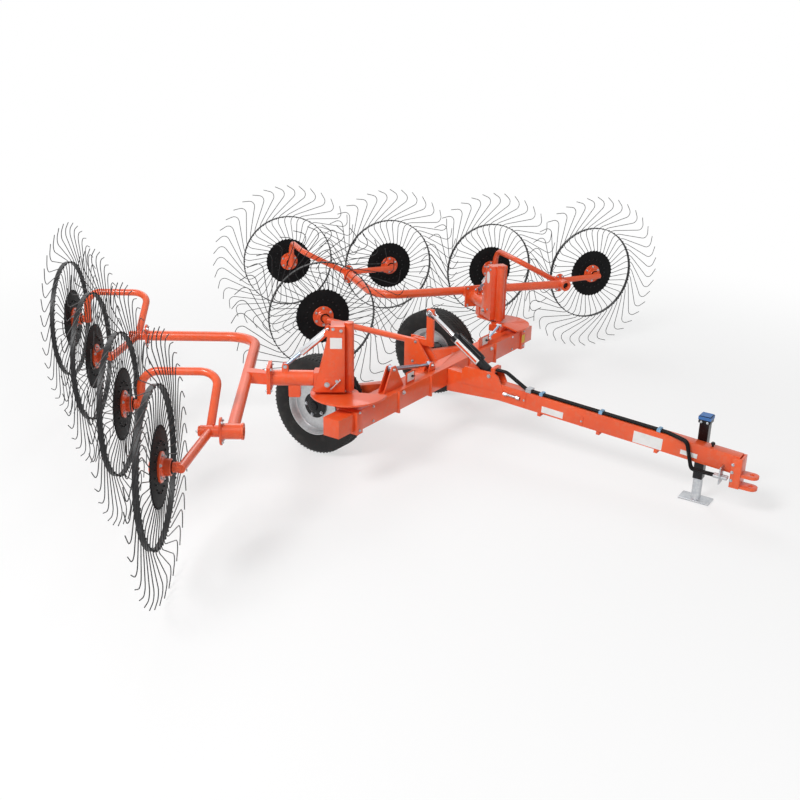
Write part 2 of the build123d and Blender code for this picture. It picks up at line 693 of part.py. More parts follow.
# Left post: pin, cap, the sector plate with its setting holes and the foot on the extension
cross_top = cross_height + CROSS_SIZE / 2
with BuildPart() as left_post:
    with BuildSketch(Plane(origin=post_foot + upward * sector_top, x_dir=along)):
        with BuildLine():
            start = polar_point(SECTOR_RADIUS, SECTOR_FROM)
            end = polar_point(SECTOR_RADIUS, SECTOR_FROM + SECTOR_SPAN)
            hub_end = polar_point(SECTOR_HUB_RADIUS, SECTOR_FROM + SECTOR_SPAN)
            hub_start = polar_point(SECTOR_HUB_RADIUS, SECTOR_FROM)
            CenterArc((0, 0), SECTOR_RADIUS, SECTOR_FROM, SECTOR_SPAN)
            Line(end, hub_end)
            CenterArc((0, 0), SECTOR_HUB_RADIUS, SECTOR_FROM + SECTOR_SPAN, 360 - SECTOR_SPAN)
            Line(hub_start, start)
        make_face()
    extrude(amount=-SECTOR_THICKNESS)
    with BuildSketch(Plane(origin=post_foot + upward * cross_top)):
        Rectangle(MAST_FOOT, MAST_FOOT)
    extrude(amount=sector_top - SECTOR_THICKNESS - cross_top)
    with BuildSketch(Plane(origin=post_foot + upward * sector_top)):
        Circle(POST_RADIUS)
    extrude(amount=bracket_top + PIVOT_PLAY - sector_top)
    with BuildSketch(Plane(origin=post_foot + upward * (bracket_top + PIVOT_PLAY))):
        Circle(POST_CAP_RADIUS)
    extrude(amount=POST_CAP_THICKNESS)

# Cross beam and its extensions
cross_place = Vector(0, ahead(BEAM_REACH), cross_height)
side_on = Plane(origin=cross_place, x_dir=(0, 1, 0), z_dir=(1, 0, 0))
cross_plates = (
    # place out from the middle, width of the square collar or flange
    (CROSS_INNER_FLANGE_X, CROSS_FLANGE_WIDTH),
    (CROSS_OUTER_FLANGE_X, CROSS_FLANGE_WIDTH),
    (CROSS_HALF - CROSS_COLLAR_WIDTH / 2, CROSS_COLLAR_WIDTH),
)
with BuildPart() as cross_beam:
    with BuildSketch(side_on.offset(-CROSS_HALF)):
        Rectangle(CROSS_SIZE, CROSS_SIZE)
    extrude(amount=2 * CROSS_HALF)
    with BuildSketch(side_on.offset(-CROSS_HALF)):
        Rectangle(CROSS_SIZE - 2 * CROSS_WALL, CROSS_SIZE - 2 * CROSS_WALL)
    extrude(amount=2 * CROSS_HALF, mode=Mode.SUBTRACT)
    for place, width in cross_plates:
        for side in (-1, 1):
            with BuildSketch(side_on.offset(side * place - width / 2)):
                with Locations((0, -CROSS_PLATE_RISE / 2)):
                    Rectangle(CROSS_SIZE + 2 * CROSS_PLATE_RISE, CROSS_SIZE + CROSS_PLATE_RISE)
                Rectangle(CROSS_SIZE, CROSS_SIZE, mode=Mode.SUBTRACT)
            extrude(amount=width)

extension_root = CROSS_HALF - EXTENSION_INSERT
with BuildPart() as left_extension:
    with BuildSketch(side_on.offset(extension_root)):
        Rectangle(EXTENSION_SIZE, EXTENSION_SIZE)
    extrude(amount=EXTENSION_HALF - extension_root)
    with BuildSketch(side_on.offset(extension_root)):
        Rectangle(EXTENSION_SIZE - 2 * EXTENSION_WALL, EXTENSION_SIZE - 2 * EXTENSION_WALL)
    extrude(amount=EXTENSION_HALF - extension_root - EXTENSION_WALL, mode=Mode.SUBTRACT)

# Trailing arm with the spindle of a road wheel
cross_rear = ahead(BEAM_REACH) + CROSS_SIZE / 2
axle_y = ahead(ROAD_WHEEL_REACH)
road_hub_inner = ROAD_WHEEL_X - ROAD_HUB_LENGTH / 2
trail_outline = (
    (cross_rear, cross_top),
    (cross_rear, cross_top - TRAIL_ROOT_HEIGHT),
    (axle_y, TYRE_RADIUS - TRAIL_TIP_HEIGHT / 2),
    (axle_y + TRAIL_TIP_HEIGHT / 2, TYRE_RADIUS),
    (axle_y, TYRE_RADIUS + TRAIL_TIP_HEIGHT / 2),
)
trail_plane = Plane(origin=(TRAIL_X - TRAIL_WIDTH / 2, 0, 0), x_dir=(0, 1, 0), z_dir=(1, 0, 0))
with BuildPart() as left_trailing_arm:
    with BuildSketch(trail_plane):
        Polygon(*trail_outline, align=None)
    extrude(amount=TRAIL_WIDTH)
    with BuildSketch(trail_plane.offset(TRAIL_WALL)):
        Polygon(*trail_outline, align=None)
        offset(amount=-TRAIL_WALL, mode=Mode.REPLACE)
    extrude(amount=TRAIL_WIDTH - 2 * TRAIL_WALL, mode=Mode.SUBTRACT)
    spindle_place = Vector(TRAIL_X + TRAIL_WIDTH / 2, axle_y, TYRE_RADIUS)
    add(
        round_bar(
            SPINDLE_COLLAR_RADIUS,
            spindle_place,
            Vector(road_hub_inner - AXLE_END_PLAY, axle_y, TYRE_RADIUS),
        )
    )
    spindle_end = ROAD_WHEEL_X + ROAD_HUB_LENGTH / 2 - RIM_WALL - AXLE_END_PLAY
    add(round_bar(SPINDLE_RADIUS, spindle_place, Vector(spindle_end, axle_y, TYRE_RADIUS)))

# Road wheel: tyre, and rim with its dish and hub
wheel_place = Vector(ROAD_WHEEL_X, axle_y, TYRE_RADIUS)
section = Plane(origin=wheel_place, x_dir=(1, 0, 0), z_dir=(0, -1, 0))
shoulder_radius = TYRE_RADIUS - TYRE_SHOULDER_DROP
with BuildPart() as left_tyre:
    with BuildSketch(section):
        with BuildLine():
            Polyline(
                (-TYRE_WIDTH / 2, BEAD_RADIUS),
                (-TYRE_WIDTH / 2, shoulder_radius - TYRE_SHOULDER_DROP),
                (-TYRE_TREAD_WIDTH / 2, TYRE_RADIUS),
                (TYRE_TREAD_WIDTH / 2, TYRE_RADIUS),
                (TYRE_WIDTH / 2, shoulder_radius - TYRE_SHOULDER_DROP),
                (TYRE_WIDTH / 2, BEAD_RADIUS),
                close=True,
            )
        make_face()
    revolve(axis=Axis(wheel_place, (1, 0, 0)))

hub_outer = ROAD_HUB_LENGTH / 2
with BuildPart() as left_rim:
    with BuildSketch(section):
        with BuildLine():
            Polyline(
                (-RIM_WIDTH / 2, BEAD_RADIUS - SEAT_GAP),
                (-RIM_WIDTH / 2, RIM_WELL_RADIUS),
                (DISH_OFFSET, RIM_WELL_RADIUS),
                (DISH_OFFSET, ROAD_HUB_RADIUS),
                (-ROAD_HUB_LENGTH / 2, ROAD_HUB_RADIUS),
                (-ROAD_HUB_LENGTH / 2, SPINDLE_RADIUS + RUNNING_CLEARANCE),
                (hub_outer - RIM_WALL, SPINDLE_RADIUS + RUNNING_CLEARANCE),
                (hub_outer - RIM_WALL, 0),
                (hub_outer + DUST_CAP_LENGTH, 0),
                (hub_outer + DUST_CAP_LENGTH, DUST_CAP_RADIUS),
                (hub_outer, DUST_CAP_RADIUS),
                (hub_outer, DISH_RADIUS),
                (DISH_OFFSET + 2 * RIM_WALL, DISH_RADIUS),
                (DISH_OFFSET + 2 * RIM_WALL, BEAD_RADIUS - RIM_LIP),
                (RIM_WIDTH / 2, BEAD_RADIUS - RIM_LIP),
                (RIM_WIDTH / 2, BEAD_RADIUS - SEAT_GAP),
                close=True,
            )
        make_face()
    revolve(axis=Axis(wheel_place, (1, 0, 0)))

# Drawbar, falling towards the tractor, with the plates that carry the cylinder's foot
slope = math.radians(DRAWBAR_SLOPE)
drawbar_root = Vector(0, ahead(BEAM_REACH) - CROSS_SIZE / 2, cross_height)
drawbar_dir = Vector(0, -math.cos(slope), -math.sin(slope))
drawbar_reach = BEAM_REACH + CROSS_SIZE / 2


def drawbar_height(reach):
    """Height of the drawbar's middle so far ahead of the rearmost hubs."""
    return cross_height - (reach - drawbar_reach) * math.tan(slope)


drawbar_length = (drawbar_end_reach - drawbar_reach) / math.cos(slope)
lengthwise = Plane(origin=(0, 0, 0), x_dir=(0, -1, 0), z_dir=(-1, 0, 0))
deck = drawbar_height(CYLINDER_PIN_REACH) + DRAWBAR_DEPTH / 2
fork_inner = CYLINDER_EYE_WIDTH / 2 + STRUT_LUG_GAP
with BuildPart() as drawbar:
    with BuildSketch(Plane(origin=drawbar_root, x_dir=(1, 0, 0), z_dir=drawbar_dir)):
        Rectangle(DRAWBAR_WIDTH, DRAWBAR_DEPTH)
    extrude(amount=drawbar_length)
    with BuildSketch(Plane(origin=drawbar_root, x_dir=(1, 0, 0), z_dir=drawbar_dir)):
        Rectangle(DRAWBAR_WIDTH - 2 * DRAWBAR_WALL, DRAWBAR_DEPTH - 2 * DRAWBAR_WALL)
    extrude(amount=drawbar_length - DRAWBAR_WALL, mode=Mode.SUBTRACT)
    split(bisect_by=Plane(origin=drawbar_root, z_dir=(0, -1, 0)), keep=Keep.TOP)
    gusset_foot = cross_height - DRAWBAR_DEPTH / 2
    gusset_tip = drawbar_height(drawbar_reach + GUSSET_LENGTH) - DRAWBAR_DEPTH / 2
    with BuildSketch(lengthwise.offset(-DRAWBAR_WIDTH / 2)):
        Polygon(
            (-drawbar_root.Y, gusset_foot),
            (-drawbar_root.Y + GUSSET_LENGTH, gusset_tip),
            (-drawbar_root.Y, gusset_foot - GUSSET_DROP),
            align=None,
        )
    extrude(amount=DRAWBAR_WIDTH)
    for side in (-1, 1):
        with BuildSketch(lengthwise.offset(side * fork_inner)):
            Polygon(
                (-ahead(CYLINDER_PIN_REACH - GOOSENECK_REAR), deck - DRAWBAR_DEPTH / 2),
                (-ahead(CYLINDER_PIN_REACH - GOOSENECK_REAR), cylinder_pin_height + GOOSENECK_TOP_RISE),
                (-ahead(CYLINDER_PIN_REACH + GOOSENECK_NOSE), cylinder_pin_height + GOOSENECK_TOP_RISE),
                (-ahead(CYLINDER_PIN_REACH + GOOSENECK_FRONT), deck - DRAWBAR_DEPTH / 2),
                align=None,
            )
            chamfer(vertices().group_by(Axis.Y)[-1], GOOSENECK_CORNER)
        extrude(amount=side * GOOSENECK_PLATE)
    pin_centre = Vector(0, ahead(CYLINDER_PIN_REACH), cylinder_pin_height)
    half_fork = Vector(fork_inner + GOOSENECK_PLATE, 0, 0)
    add(round_bar(CYLINDER_PIN_RADIUS, pin_centre - half_fork, pin_centre + half_fork))

# Hitch: cheeks beside the drawbar, a cross plate and two jaws with an upright pin hole
hitch_front = cheek_reach + HITCH_CHEEK_LENGTH / 2 - HITCH_PLATE
cheek_middle = hitch_jaw_height + HITCH_CHEEK_HEIGHT / 2 - HITCH_JAW_GAP / 2 - HITCH_JAW_THICKNESS
jaw_pin_reach = HITCH_REACH - HITCH_JAW_WIDTH / 2
with BuildPart() as hitch:
    for side in (-1, 1):
        cheek_place = Vector(0, ahead(cheek_reach), cheek_middle)
        cheek = Plane(origin=cheek_place, x_dir=(0, -1, 0), z_dir=(side, 0, 0))
        with BuildSketch(cheek.offset(DRAWBAR_WIDTH / 2)):
            Rectangle(HITCH_CHEEK_LENGTH, HITCH_CHEEK_HEIGHT)
        extrude(amount=HITCH_PLATE)
    front_place = Vector(0, ahead(hitch_front), cheek_middle)
    with BuildSketch(Plane(origin=front_place, x_dir=(1, 0, 0), z_dir=(0, -1, 0))):
        Rectangle(DRAWBAR_WIDTH + 2 * HITCH_PLATE, HITCH_CHEEK_HEIGHT)
    extrude(amount=HITCH_PLATE)
    for side in (-1, 1):
        jaw_middle = hitch_jaw_height + side * (HITCH_JAW_GAP + HITCH_JAW_THICKNESS) / 2
        jaw_low = jaw_middle - HITCH_JAW_THICKNESS / 2
        with BuildSketch(Plane(origin=(0, ahead(jaw_pin_reach), jaw_low))):
            Circle(HITCH_JAW_WIDTH / 2)
            with Locations((0, (jaw_pin_reach - hitch_front - HITCH_PLATE) / 2)):
                Rectangle(HITCH_JAW_WIDTH, jaw_pin_reach - hitch_front - HITCH_PLATE)
            Circle(HITCH_PIN_RADIUS, mode=Mode.SUBTRACT)
        extrude(amount=HITCH_JAW_THICKNESS)

# Parking jack on the left side of the drawbar
jack_x = DRAWBAR_WIDTH / 2 + JACK_TUBE / 2
jack_place = Vector(jack_x, ahead(jack_reach), 0)
with BuildPart() as jack_tube:
    with BuildSketch(Plane(origin=jack_place + upward * JACK_TUBE_FOOT)):
        Rectangle(JACK_TUBE, JACK_TUBE)
    extrude(amount=JACK_TUBE_TOP - JACK_TUBE_FOOT)
    with BuildSketch(Plane(origin=jack_place + upward * JACK_TUBE_TOP)):
        Rectangle(JACK_CAP_SIZE, JACK_CAP_SIZE)
    extrude(amount=JACK_CAP_HEIGHT)
    with BuildSketch(Plane(origin=jack_place + upward * JACK_TUBE_FOOT)):
        Rectangle(JACK_LEG + 2 * JACK_CLEARANCE, JACK_LEG + 2 * JACK_CLEARANCE)
    extrude(amount=JACK_TUBE_TOP - JACK_TUBE_FOOT - JACK_COLLAR, mode=Mode.SUBTRACT)

with BuildPart() as jack_leg:
    with BuildSketch(Plane(origin=jack_place + upward * JACK_FOOT_THICKNESS)):
        Rectangle(JACK_LEG, JACK_LEG)
    extrude(amount=JACK_TUBE_FOOT + JACK_LEG_INSERT - JACK_FOOT_THICKNESS)
    with BuildSketch(Plane(origin=jack_place)):
        Rectangle(JACK_FOOT_WIDTH, JACK_FOOT_LENGTH)
    extrude(amount=JACK_FOOT_THICKNESS)

# Hoses, clamps and the block on the gooseneck that they start from
with BuildPart() as hoses:
    for route in HOSE_ROUTES:
        stops = [Vector(x, ahead(reach), height) for x, reach, height in route]
        add(bent_tube(HOSE_RADIUS, HOSE_BEND, stops, HOSE_FLATS))

deck_top = DRAWBAR_DEPTH / 2
slot = 2 * HOSE_RADIUS + HOSE_SLOT
with BuildPart() as hose_clamps:
    for reach in CLAMP_REACHES:
        clamp_place = Vector((CLAMP_FROM_X + CLAMP_TO_X) / 2, ahead(reach), drawbar_height(reach))
        clamp_plane = Plane(origin=clamp_place, x_dir=(1, 0, 0), z_dir=drawbar_dir).offset(-CLAMP_LENGTH / 2)
        with BuildSketch(clamp_plane):
            with Locations((0, -deck_top - CLAMP_RISE / 2)):
                Rectangle(CLAMP_TO_X - CLAMP_FROM_X, CLAMP_RISE)
            for route in HOSE_ROUTES:
                with Locations((route[2][0] - clamp_place.X, -deck_top - slot / 2)):
                    Rectangle(slot, slot, mode=Mode.SUBTRACT)
        extrude(amount=CLAMP_LENGTH)
    manifold_foot = cylinder_pin_height + GOOSENECK_TOP_RISE
    manifold_place = Vector(0, ahead(manifold_reach), manifold_foot + MANIFOLD_HEIGHT / 2)
    with BuildSketch(Plane(origin=manifold_place, x_dir=(1, 0, 0), z_dir=(0, -1, 0))):
        Rectangle(2 * (fork_inner + GOOSENECK_PLATE), MANIFOLD_HEIGHT)
    extrude(amount=MANIFOLD_LENGTH)

with BuildPart() as coupler_rack:
    rack_place = Vector(-(DRAWBAR_WIDTH + RACK_WIDTH) / 2, ahead(rack_reach), rack_height)
    with BuildSketch(Plane(origin=rack_place, x_dir=(1, 0, 0), z_dir=(0, -1, 0))):
        Rectangle(RACK_WIDTH, RACK_HEIGHT)
    extrude(amount=RACK_PLATE)
    for route in HOSE_ROUTES:
        x, reach, height = route[-1]
        coupler_start = Vector(x, ahead(reach), height)
        add(straight_tube(COUPLER_RADIUS, coupler_start, coupler_start - Vector(0, COUPLER_LENGTH, 0)))

# Tie over the cross beam: two pairs of ears and the telescopic bar between them
tie_ends = (
    # x, height, length of the ears' foot
    (TIE_FAR_X, tie_far_height, TIE_FAR_FOOT),
    (TIE_NEAR_X, tie_near_height, TIE_NEAR_FOOT),
)
tie_inner = TIE_EYE_WIDTH / 2 + TIE_PLATE_GAP
tie_face = Plane(origin=cross_place, x_dir=(1, 0, 0), z_dir=(0, -1, 0))
with BuildPart() as tie_ears:
    for place, height, foot in tie_ends:
        rise = height - cross_height
        for side in (-1, 1):
            with BuildSketch(tie_face.offset(side * tie_inner)):
                Polygon(
                    (place - foot / 2, CROSS_SIZE / 2),
                    (place + foot / 2, CROSS_SIZE / 2),
                    (place + TIE_EYE_RADIUS, rise + TIE_EYE_RADIUS),
                    (place - TIE_EYE_RADIUS, rise + TIE_EYE_RADIUS),
                    align=None,
                )
            extrude(amount=side * TIE_PLATE)
        pin_reach = Vector(0, tie_inner + TIE_PLATE, 0)
        pin_middle = Vector(place, cross_place.Y, height)
        add(round_bar(TIE_PIN_RADIUS, pin_middle - pin_reach, pin_middle + pin_reach))

tie_far = Vector(TIE_FAR_X, cross_place.Y, tie_far_height)
tie_near = Vector(TIE_NEAR_X, cross_place.Y, tie_near_height)
tie_line = tie_near - tie_far
with BuildPart() as tie_bar:
    add(straight_tube(TIE_BAR_RADIUS, tie_far, tie_far + tie_line * TIE_BAR_SHARE))
    add(straight_tube(TIE_ROD_RADIUS, tie_far, tie_near))
    eye_reach = Vector(0, TIE_EYE_WIDTH / 2, 0)
    for eye_middle in (tie_far, tie_near):
        add(straight_tube(TIE_EYE_RADIUS, eye_middle - eye_reach, eye_middle + eye_reach))
        add(
            round_bar(TIE_PIN_RADIUS + RUNNING_CLEARANCE, eye_middle - eye_reach, eye_middle + eye_reach),
            mode=Mode.SUBTRACT,
        )

# Centre wheel's post, behind the cross beam
knuckle_half = KICKER_KNUCKLE_WIDTH / 2
post_inner = knuckle_half + KICKER_SIDE_GAP
kicker_pin_place = Vector(0, ahead(KICKER_POST_REACH), kicker_pin_height)
with BuildPart() as kicker_post:
    for side in (-1, 1):
        with BuildSketch(lengthwise.offset(side * post_inner)):
            Polygon(
                (-cross_rear, cross_height - CROSS_SIZE / 4),
                (-cross_rear, cross_height + CROSS_SIZE / 2),
                (-kicker_pin_place.Y + KICKER_POST_WIDTH / 2, kicker_pin_height + KICKER_PIN_RADIUS * 2),
                (-kicker_pin_place.Y - KICKER_POST_WIDTH / 2, kicker_pin_height + KICKER_PIN_RADIUS * 2),
                (-kicker_pin_place.Y - KICKER_POST_WIDTH / 2, cross_height),
                align=None,
            )
        extrude(amount=side * KICKER_PLATE)
    post_half = Vector(post_inner + KICKER_PLATE, 0, 0)
    add(round_bar(KICKER_PIN_RADIUS, kicker_pin_place - post_half, kicker_pin_place + post_half))

# Centre wheel's arm: knuckle, lever for the cylinder, bent tube and axle
kicker_hub = Vector(KICKER_HUB_X, ahead(KICKER_REACH), HUB_HEIGHT)
kicker_tube_end = kicker_hub - astern * ROCKER_STUB
lever_pin_place = Vector(0, ahead(LEVER_REACH), lever_pin_height)
lever_half = LEVER_THICKNESS / 2
with BuildPart() as kicker_arm:
    half_knuckle = Vector(knuckle_half, 0, 0)
    knuckle_end = kicker_pin_place + half_knuckle
    add(straight_tube(KICKER_PIN_RADIUS * 2, kicker_pin_place - half_knuckle, knuckle_end))
    add(straight_tube(KICKER_ARM_RADIUS, kicker_pin_place, kicker_tube_end))
    add(round_bar(AXLE_RADIUS, kicker_tube_end, kicker_hub + astern * axle_tip))
    add(
        straight_tube(
            ROCKER_COLLAR_RADIUS,
            kicker_tube_end - astern * KICKER_ARM_RADIUS,
            kicker_hub - astern * (HUB_FRONT + AXLE_END_PLAY),
        )
    )
    with BuildSketch(lengthwise.offset(-lever_half)):
        Polygon(
            (-kicker_pin_place.Y - KICKER_PIN_RADIUS, kicker_pin_height - KICKER_PIN_RADIUS),
            (-lever_pin_place.Y + LEVER_WIDTH / 2, kicker_pin_height - KICKER_PIN_RADIUS),
            (-lever_pin_place.Y + LEVER_WIDTH / 2, lever_pin_height + LEVER_WIDTH / 2),
            (-lever_pin_place.Y - LEVER_WIDTH / 2, lever_pin_height + LEVER_WIDTH / 2),
            (-lever_pin_place.Y - LEVER_WIDTH / 2, kicker_pin_height + KICKER_PIN_RADIUS * 2),
            (-kicker_pin_place.Y, kicker_pin_height + KICKER_PIN_RADIUS * 2),
            align=None,
        )
    extrude(amount=LEVER_THICKNESS)
    pin_bore = KICKER_PIN_RADIUS + RUNNING_CLEARANCE
    wide = Vector(KICKER_KNUCKLE_WIDTH, 0, 0)
    add(round_bar(pin_bore, kicker_pin_place - wide, kicker_pin_place + wide), mode=Mode.SUBTRACT)
    lever_bore = CYLINDER_PIN_RADIUS + ROD_EYE_CLEARANCE
    add(round_bar(lever_bore, lever_pin_place - wide, lever_pin_place + wide), mode=Mode.SUBTRACT)

# Centre cylinder, from the drawbar's fork to the lever
stroke_line = lever_pin_place - pin_centre
stroke_dir = stroke_line.normalized()
barrel_end = pin_centre + stroke_line * CYLINDER_SHARE
rod_start = pin_centre + stroke_line * (1 - ROD_SHARE)
side_x = Vector(1, 0, 0)
with BuildPart() as cylinder_barrel:
    add(round_bar(CYLINDER_RADIUS, pin_centre + stroke_dir * CYLINDER_EYE_RADIUS * 1.5, barrel_end))
    eye_half = side_x * (CYLINDER_EYE_WIDTH / 2)
    add(round_bar(CYLINDER_EYE_RADIUS, pin_centre - eye_half, pin_centre + eye_half))
    add(round_bar(CYLINDER_EYE_RADIUS * 0.8, pin_centre, pin_centre + stroke_dir * CYLINDER_EYE_RADIUS * 1.6))
    port_rise = stroke_dir.cross(side_x) * -PORT_TUBE_RISE
    port_places = [pin_centre + stroke_line * share + port_rise for share in PORT_TUBE_SHARES]
    add(straight_tube(PORT_TUBE_RADIUS, port_places[0], port_places[1]))
    for place in port_places:
        with BuildSketch(Plane(origin=place, x_dir=side_x, z_dir=-port_rise)):
            Rectangle(PORT_BLOCK, PORT_BLOCK)
        extrude(amount=PORT_TUBE_RISE - CYLINDER_BORE - PORT_TUBE_RADIUS / 2)
    add(
        round_bar(CYLINDER_PIN_RADIUS + RUNNING_CLEARANCE, pin_centre - eye_half, pin_centre + eye_half),
        mode=Mode.SUBTRACT,
    )
    add(
        round_bar(CYLINDER_BORE, pin_centre + stroke_dir * CYLINDER_EYE_RADIUS * 2, barrel_end),
        mode=Mode.SUBTRACT,
    )

rod_fork_inner = LEVER_THICKNESS / 2 + STRUT_LUG_GAP
with BuildPart() as cylinder_rod:
    add(round_bar(ROD_RADIUS, rod_start, lever_pin_place - stroke_dir * LEVER_WIDTH))
    add(round_bar(CYLINDER_BORE - RUNNING_CLEARANCE, rod_start, rod_start + stroke_dir * CYLINDER_BORE))
    for side in (-1, 1):
        inner = side_x * (side * rod_fork_inner)
        outer = side_x * (side * (rod_fork_inner + KICKER_PLATE))
        add(round_bar(CYLINDER_EYE_RADIUS, lever_pin_place + inner, lever_pin_place + outer))
        cheek_plane = Plane(
            origin=lever_pin_place + inner,
            x_dir=stroke_dir,
            z_dir=(side, 0, 0),
        )
        with BuildSketch(cheek_plane):
            with Locations((-LEVER_WIDTH / 2, 0)):
                Rectangle(LEVER_WIDTH, CYLINDER_EYE_RADIUS)
        extrude(amount=KICKER_PLATE)
    bridge = Plane(origin=lever_pin_place - stroke_dir * LEVER_WIDTH, x_dir=side_x, z_dir=stroke_dir)
    with BuildSketch(bridge):
        Rectangle(2 * (rod_fork_inner + KICKER_PLATE), CYLINDER_EYE_RADIUS)
    extrude(amount=KICKER_PLATE)
    add(round_bar(CYLINDER_PIN_RADIUS, lever_pin_place - outer, lever_pin_place + outer))

# Float strut of the left wing
strut_foot = wing(ARM_ALONG, STRUT_ARM_SETBACK, strut_pin_height)
strut_line = strut_top - strut_foot
strut_dir = strut_line.normalized()
half_eye = along * (STRUT_EYE_WIDTH / 2)
with BuildPart() as left_strut_tube:
    tube_end = strut_top - strut_line * STRUT_TUBE_SHARE
    add(straight_tube(STRUT_TUBE_RADIUS, strut_top - strut_dir * STRUT_PIN_RADIUS, tube_end))
    add(straight_tube(STRUT_EYE_RADIUS, strut_top - half_eye, strut_top + half_eye))
    add(
        round_bar(
            STRUT_PIN_RADIUS + RUNNING_CLEARANCE,
            strut_top - along * STRUT_EYE_WIDTH,
            strut_top + along * STRUT_EYE_WIDTH,
        ),
        mode=Mode.SUBTRACT,
    )
    bore_floor = strut_top - strut_dir * (STRUT_EYE_RADIUS * 2)
    add(round_bar(STRUT_TUBE_BORE, bore_floor, tube_end), mode=Mode.SUBTRACT)

with BuildPart() as left_strut_rod:
    rod_end = strut_foot + strut_line * STRUT_ROD_SHARE
    add(round_bar(STRUT_ROD_RADIUS, strut_foot + strut_dir * STRUT_PIN_RADIUS, rod_end))
    add(straight_tube(STRUT_EYE_RADIUS, strut_foot - half_eye, strut_foot + half_eye))
    strut_pin_half = along * (lug_inner + STRUT_LUG_PLATE)
    add(round_bar(STRUT_PIN_RADIUS, strut_foot - strut_pin_half, strut_foot + strut_pin_half))

# The strut's upper pin runs between the bracket's plates
with BuildPart() as left_bracket_pinned:
    add(left_bracket.part)
    add(round_bar(STRUT_PIN_RADIUS, strut_top - along * plate_inner, strut_top + along * plate_inner))

pairs = (
    # name, rear wheel's step, rear wheel's setback
    ("rear", 0, 0),
    ("front", front_pair_step, front_pair_setback),
)
left_pieces = {
    "beam": left_beam.part,
    "arm": left_arm.part,
    "bracket": left_bracket_pinned.part,
    "post": left_post.part,
    "extension": left_extension.part,
    "trailing_arm": left_trailing_arm.part,
    "tyre": left_tyre.part,
    "rim": left_rim.part,
    "strut_tube": left_strut_tube.part,
    "strut_rod": left_strut_rod.part,
}
for pair, step, setback in pairs:
    left_pieces[f"{pair}_rocker"] = rocker(step, setback)
for number in range(4):
    hub_place = wing(number * WHEEL_STEP, number * WHEEL_SETBACK, HUB_HEIGHT)
    left_pieces[f"rake_wheel_{number + 1}"] = rake_wheel(hub_place)

for name, piece in left_pieces.items():
    save(piece, f"left_{name}")
    save(mirrored(piece), f"right_{name}")

centre_pieces = {
    "cross_beam": cross_beam.part,
    "drawbar": drawbar.part,
    "hitch": hitch.part,
    "jack_tube": jack_tube.part,
    "jack_leg": jack_leg.part,
    "kicker_post": kicker_post.part,
    "kicker_arm": kicker_arm.part,
    "kicker_wheel": rake_wheel(kicker_hub),
    "cylinder_barrel": cylinder_barrel.part,
    "cylinder_rod": cylinder_rod.part,
    "tie_ears": tie_ears.part,
    "tie_bar": tie_bar.part,
    "hoses": hoses.part,
    "hose_clamps": hose_clamps.part,
    "coupler_rack": coupler_rack.part,
}
for name, piece in centre_pieces.items():
    save(piece, name)
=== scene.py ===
import json
import math

import bmesh
import bpy
from mathutils import Matrix, Vector
from mathutils.bvhtree import BVHTree

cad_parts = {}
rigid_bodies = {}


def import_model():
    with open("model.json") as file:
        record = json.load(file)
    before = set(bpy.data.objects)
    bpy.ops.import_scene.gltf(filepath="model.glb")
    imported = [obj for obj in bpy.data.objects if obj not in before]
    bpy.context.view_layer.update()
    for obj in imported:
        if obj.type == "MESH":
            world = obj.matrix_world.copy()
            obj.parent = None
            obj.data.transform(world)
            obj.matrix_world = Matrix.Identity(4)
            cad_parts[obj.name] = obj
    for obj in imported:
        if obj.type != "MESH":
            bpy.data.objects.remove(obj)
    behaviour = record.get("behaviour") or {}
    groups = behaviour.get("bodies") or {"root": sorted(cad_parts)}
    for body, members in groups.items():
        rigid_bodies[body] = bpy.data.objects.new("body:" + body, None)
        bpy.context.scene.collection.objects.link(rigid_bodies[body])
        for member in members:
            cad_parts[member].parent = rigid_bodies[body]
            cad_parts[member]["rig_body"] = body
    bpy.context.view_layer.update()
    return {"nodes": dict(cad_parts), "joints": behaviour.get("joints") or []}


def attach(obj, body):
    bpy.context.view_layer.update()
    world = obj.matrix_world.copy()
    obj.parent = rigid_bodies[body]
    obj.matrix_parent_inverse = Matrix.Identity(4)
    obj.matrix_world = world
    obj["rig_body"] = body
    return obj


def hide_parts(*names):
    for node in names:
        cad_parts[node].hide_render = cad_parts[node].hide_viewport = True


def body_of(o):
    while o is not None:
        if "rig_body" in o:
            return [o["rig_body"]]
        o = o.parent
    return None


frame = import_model()

MM = 0.001
joints = {joint["name"]: joint for joint in frame["joints"]}
nodes = frame["nodes"]
SIDES = (("left", 1), ("right", -1))
UP, LEFT, FORWARD = Vector((0, 0, 1)), Vector((1, 0, 0)), Vector((0, -1, 0))
HOME = Matrix()


# Shader maths: a socket that can be added, multiplied and compared

class Value:
    """The output of a node, with arithmetic that adds Math nodes."""

    def __init__(self, tree, socket):
        self.tree = tree
        self.socket = socket

    def maths(self, operation, *values):
        node = self.tree.nodes.new("ShaderNodeMath")
        node.operation = operation
        for place, value in enumerate(values):
            feed(self.tree, node.inputs[place], value)
        return Value(self.tree, node.outputs[0])

    def __add__(self, other):
        return self.maths("ADD", self, other)

    def __radd__(self, other):
        return self.maths("ADD", other, self)

    def __rsub__(self, other):
        return self.maths("SUBTRACT", other, self)

    def __mul__(self, other):
        return self.maths("MULTIPLY", self, other)

    def __rmul__(self, other):
        return self.maths("MULTIPLY", other, self)

    def over(self, edge, width):
        """0 below the edge and 1 above it, with a soft step of that width."""
        kind, smooth = "ShaderNodeMapRange", "SMOOTHSTEP"
        inputs = {"Value": self, "From Min": edge - width / 2, "From Max": edge + width / 2}
        return make_node(self.tree, kind, "Result", inputs, interpolation_type=smooth)


def feed(tree, socket, value):
    if isinstance(value, Value):
        tree.links.new(value.socket, socket)
    else:
        socket.default_value = value


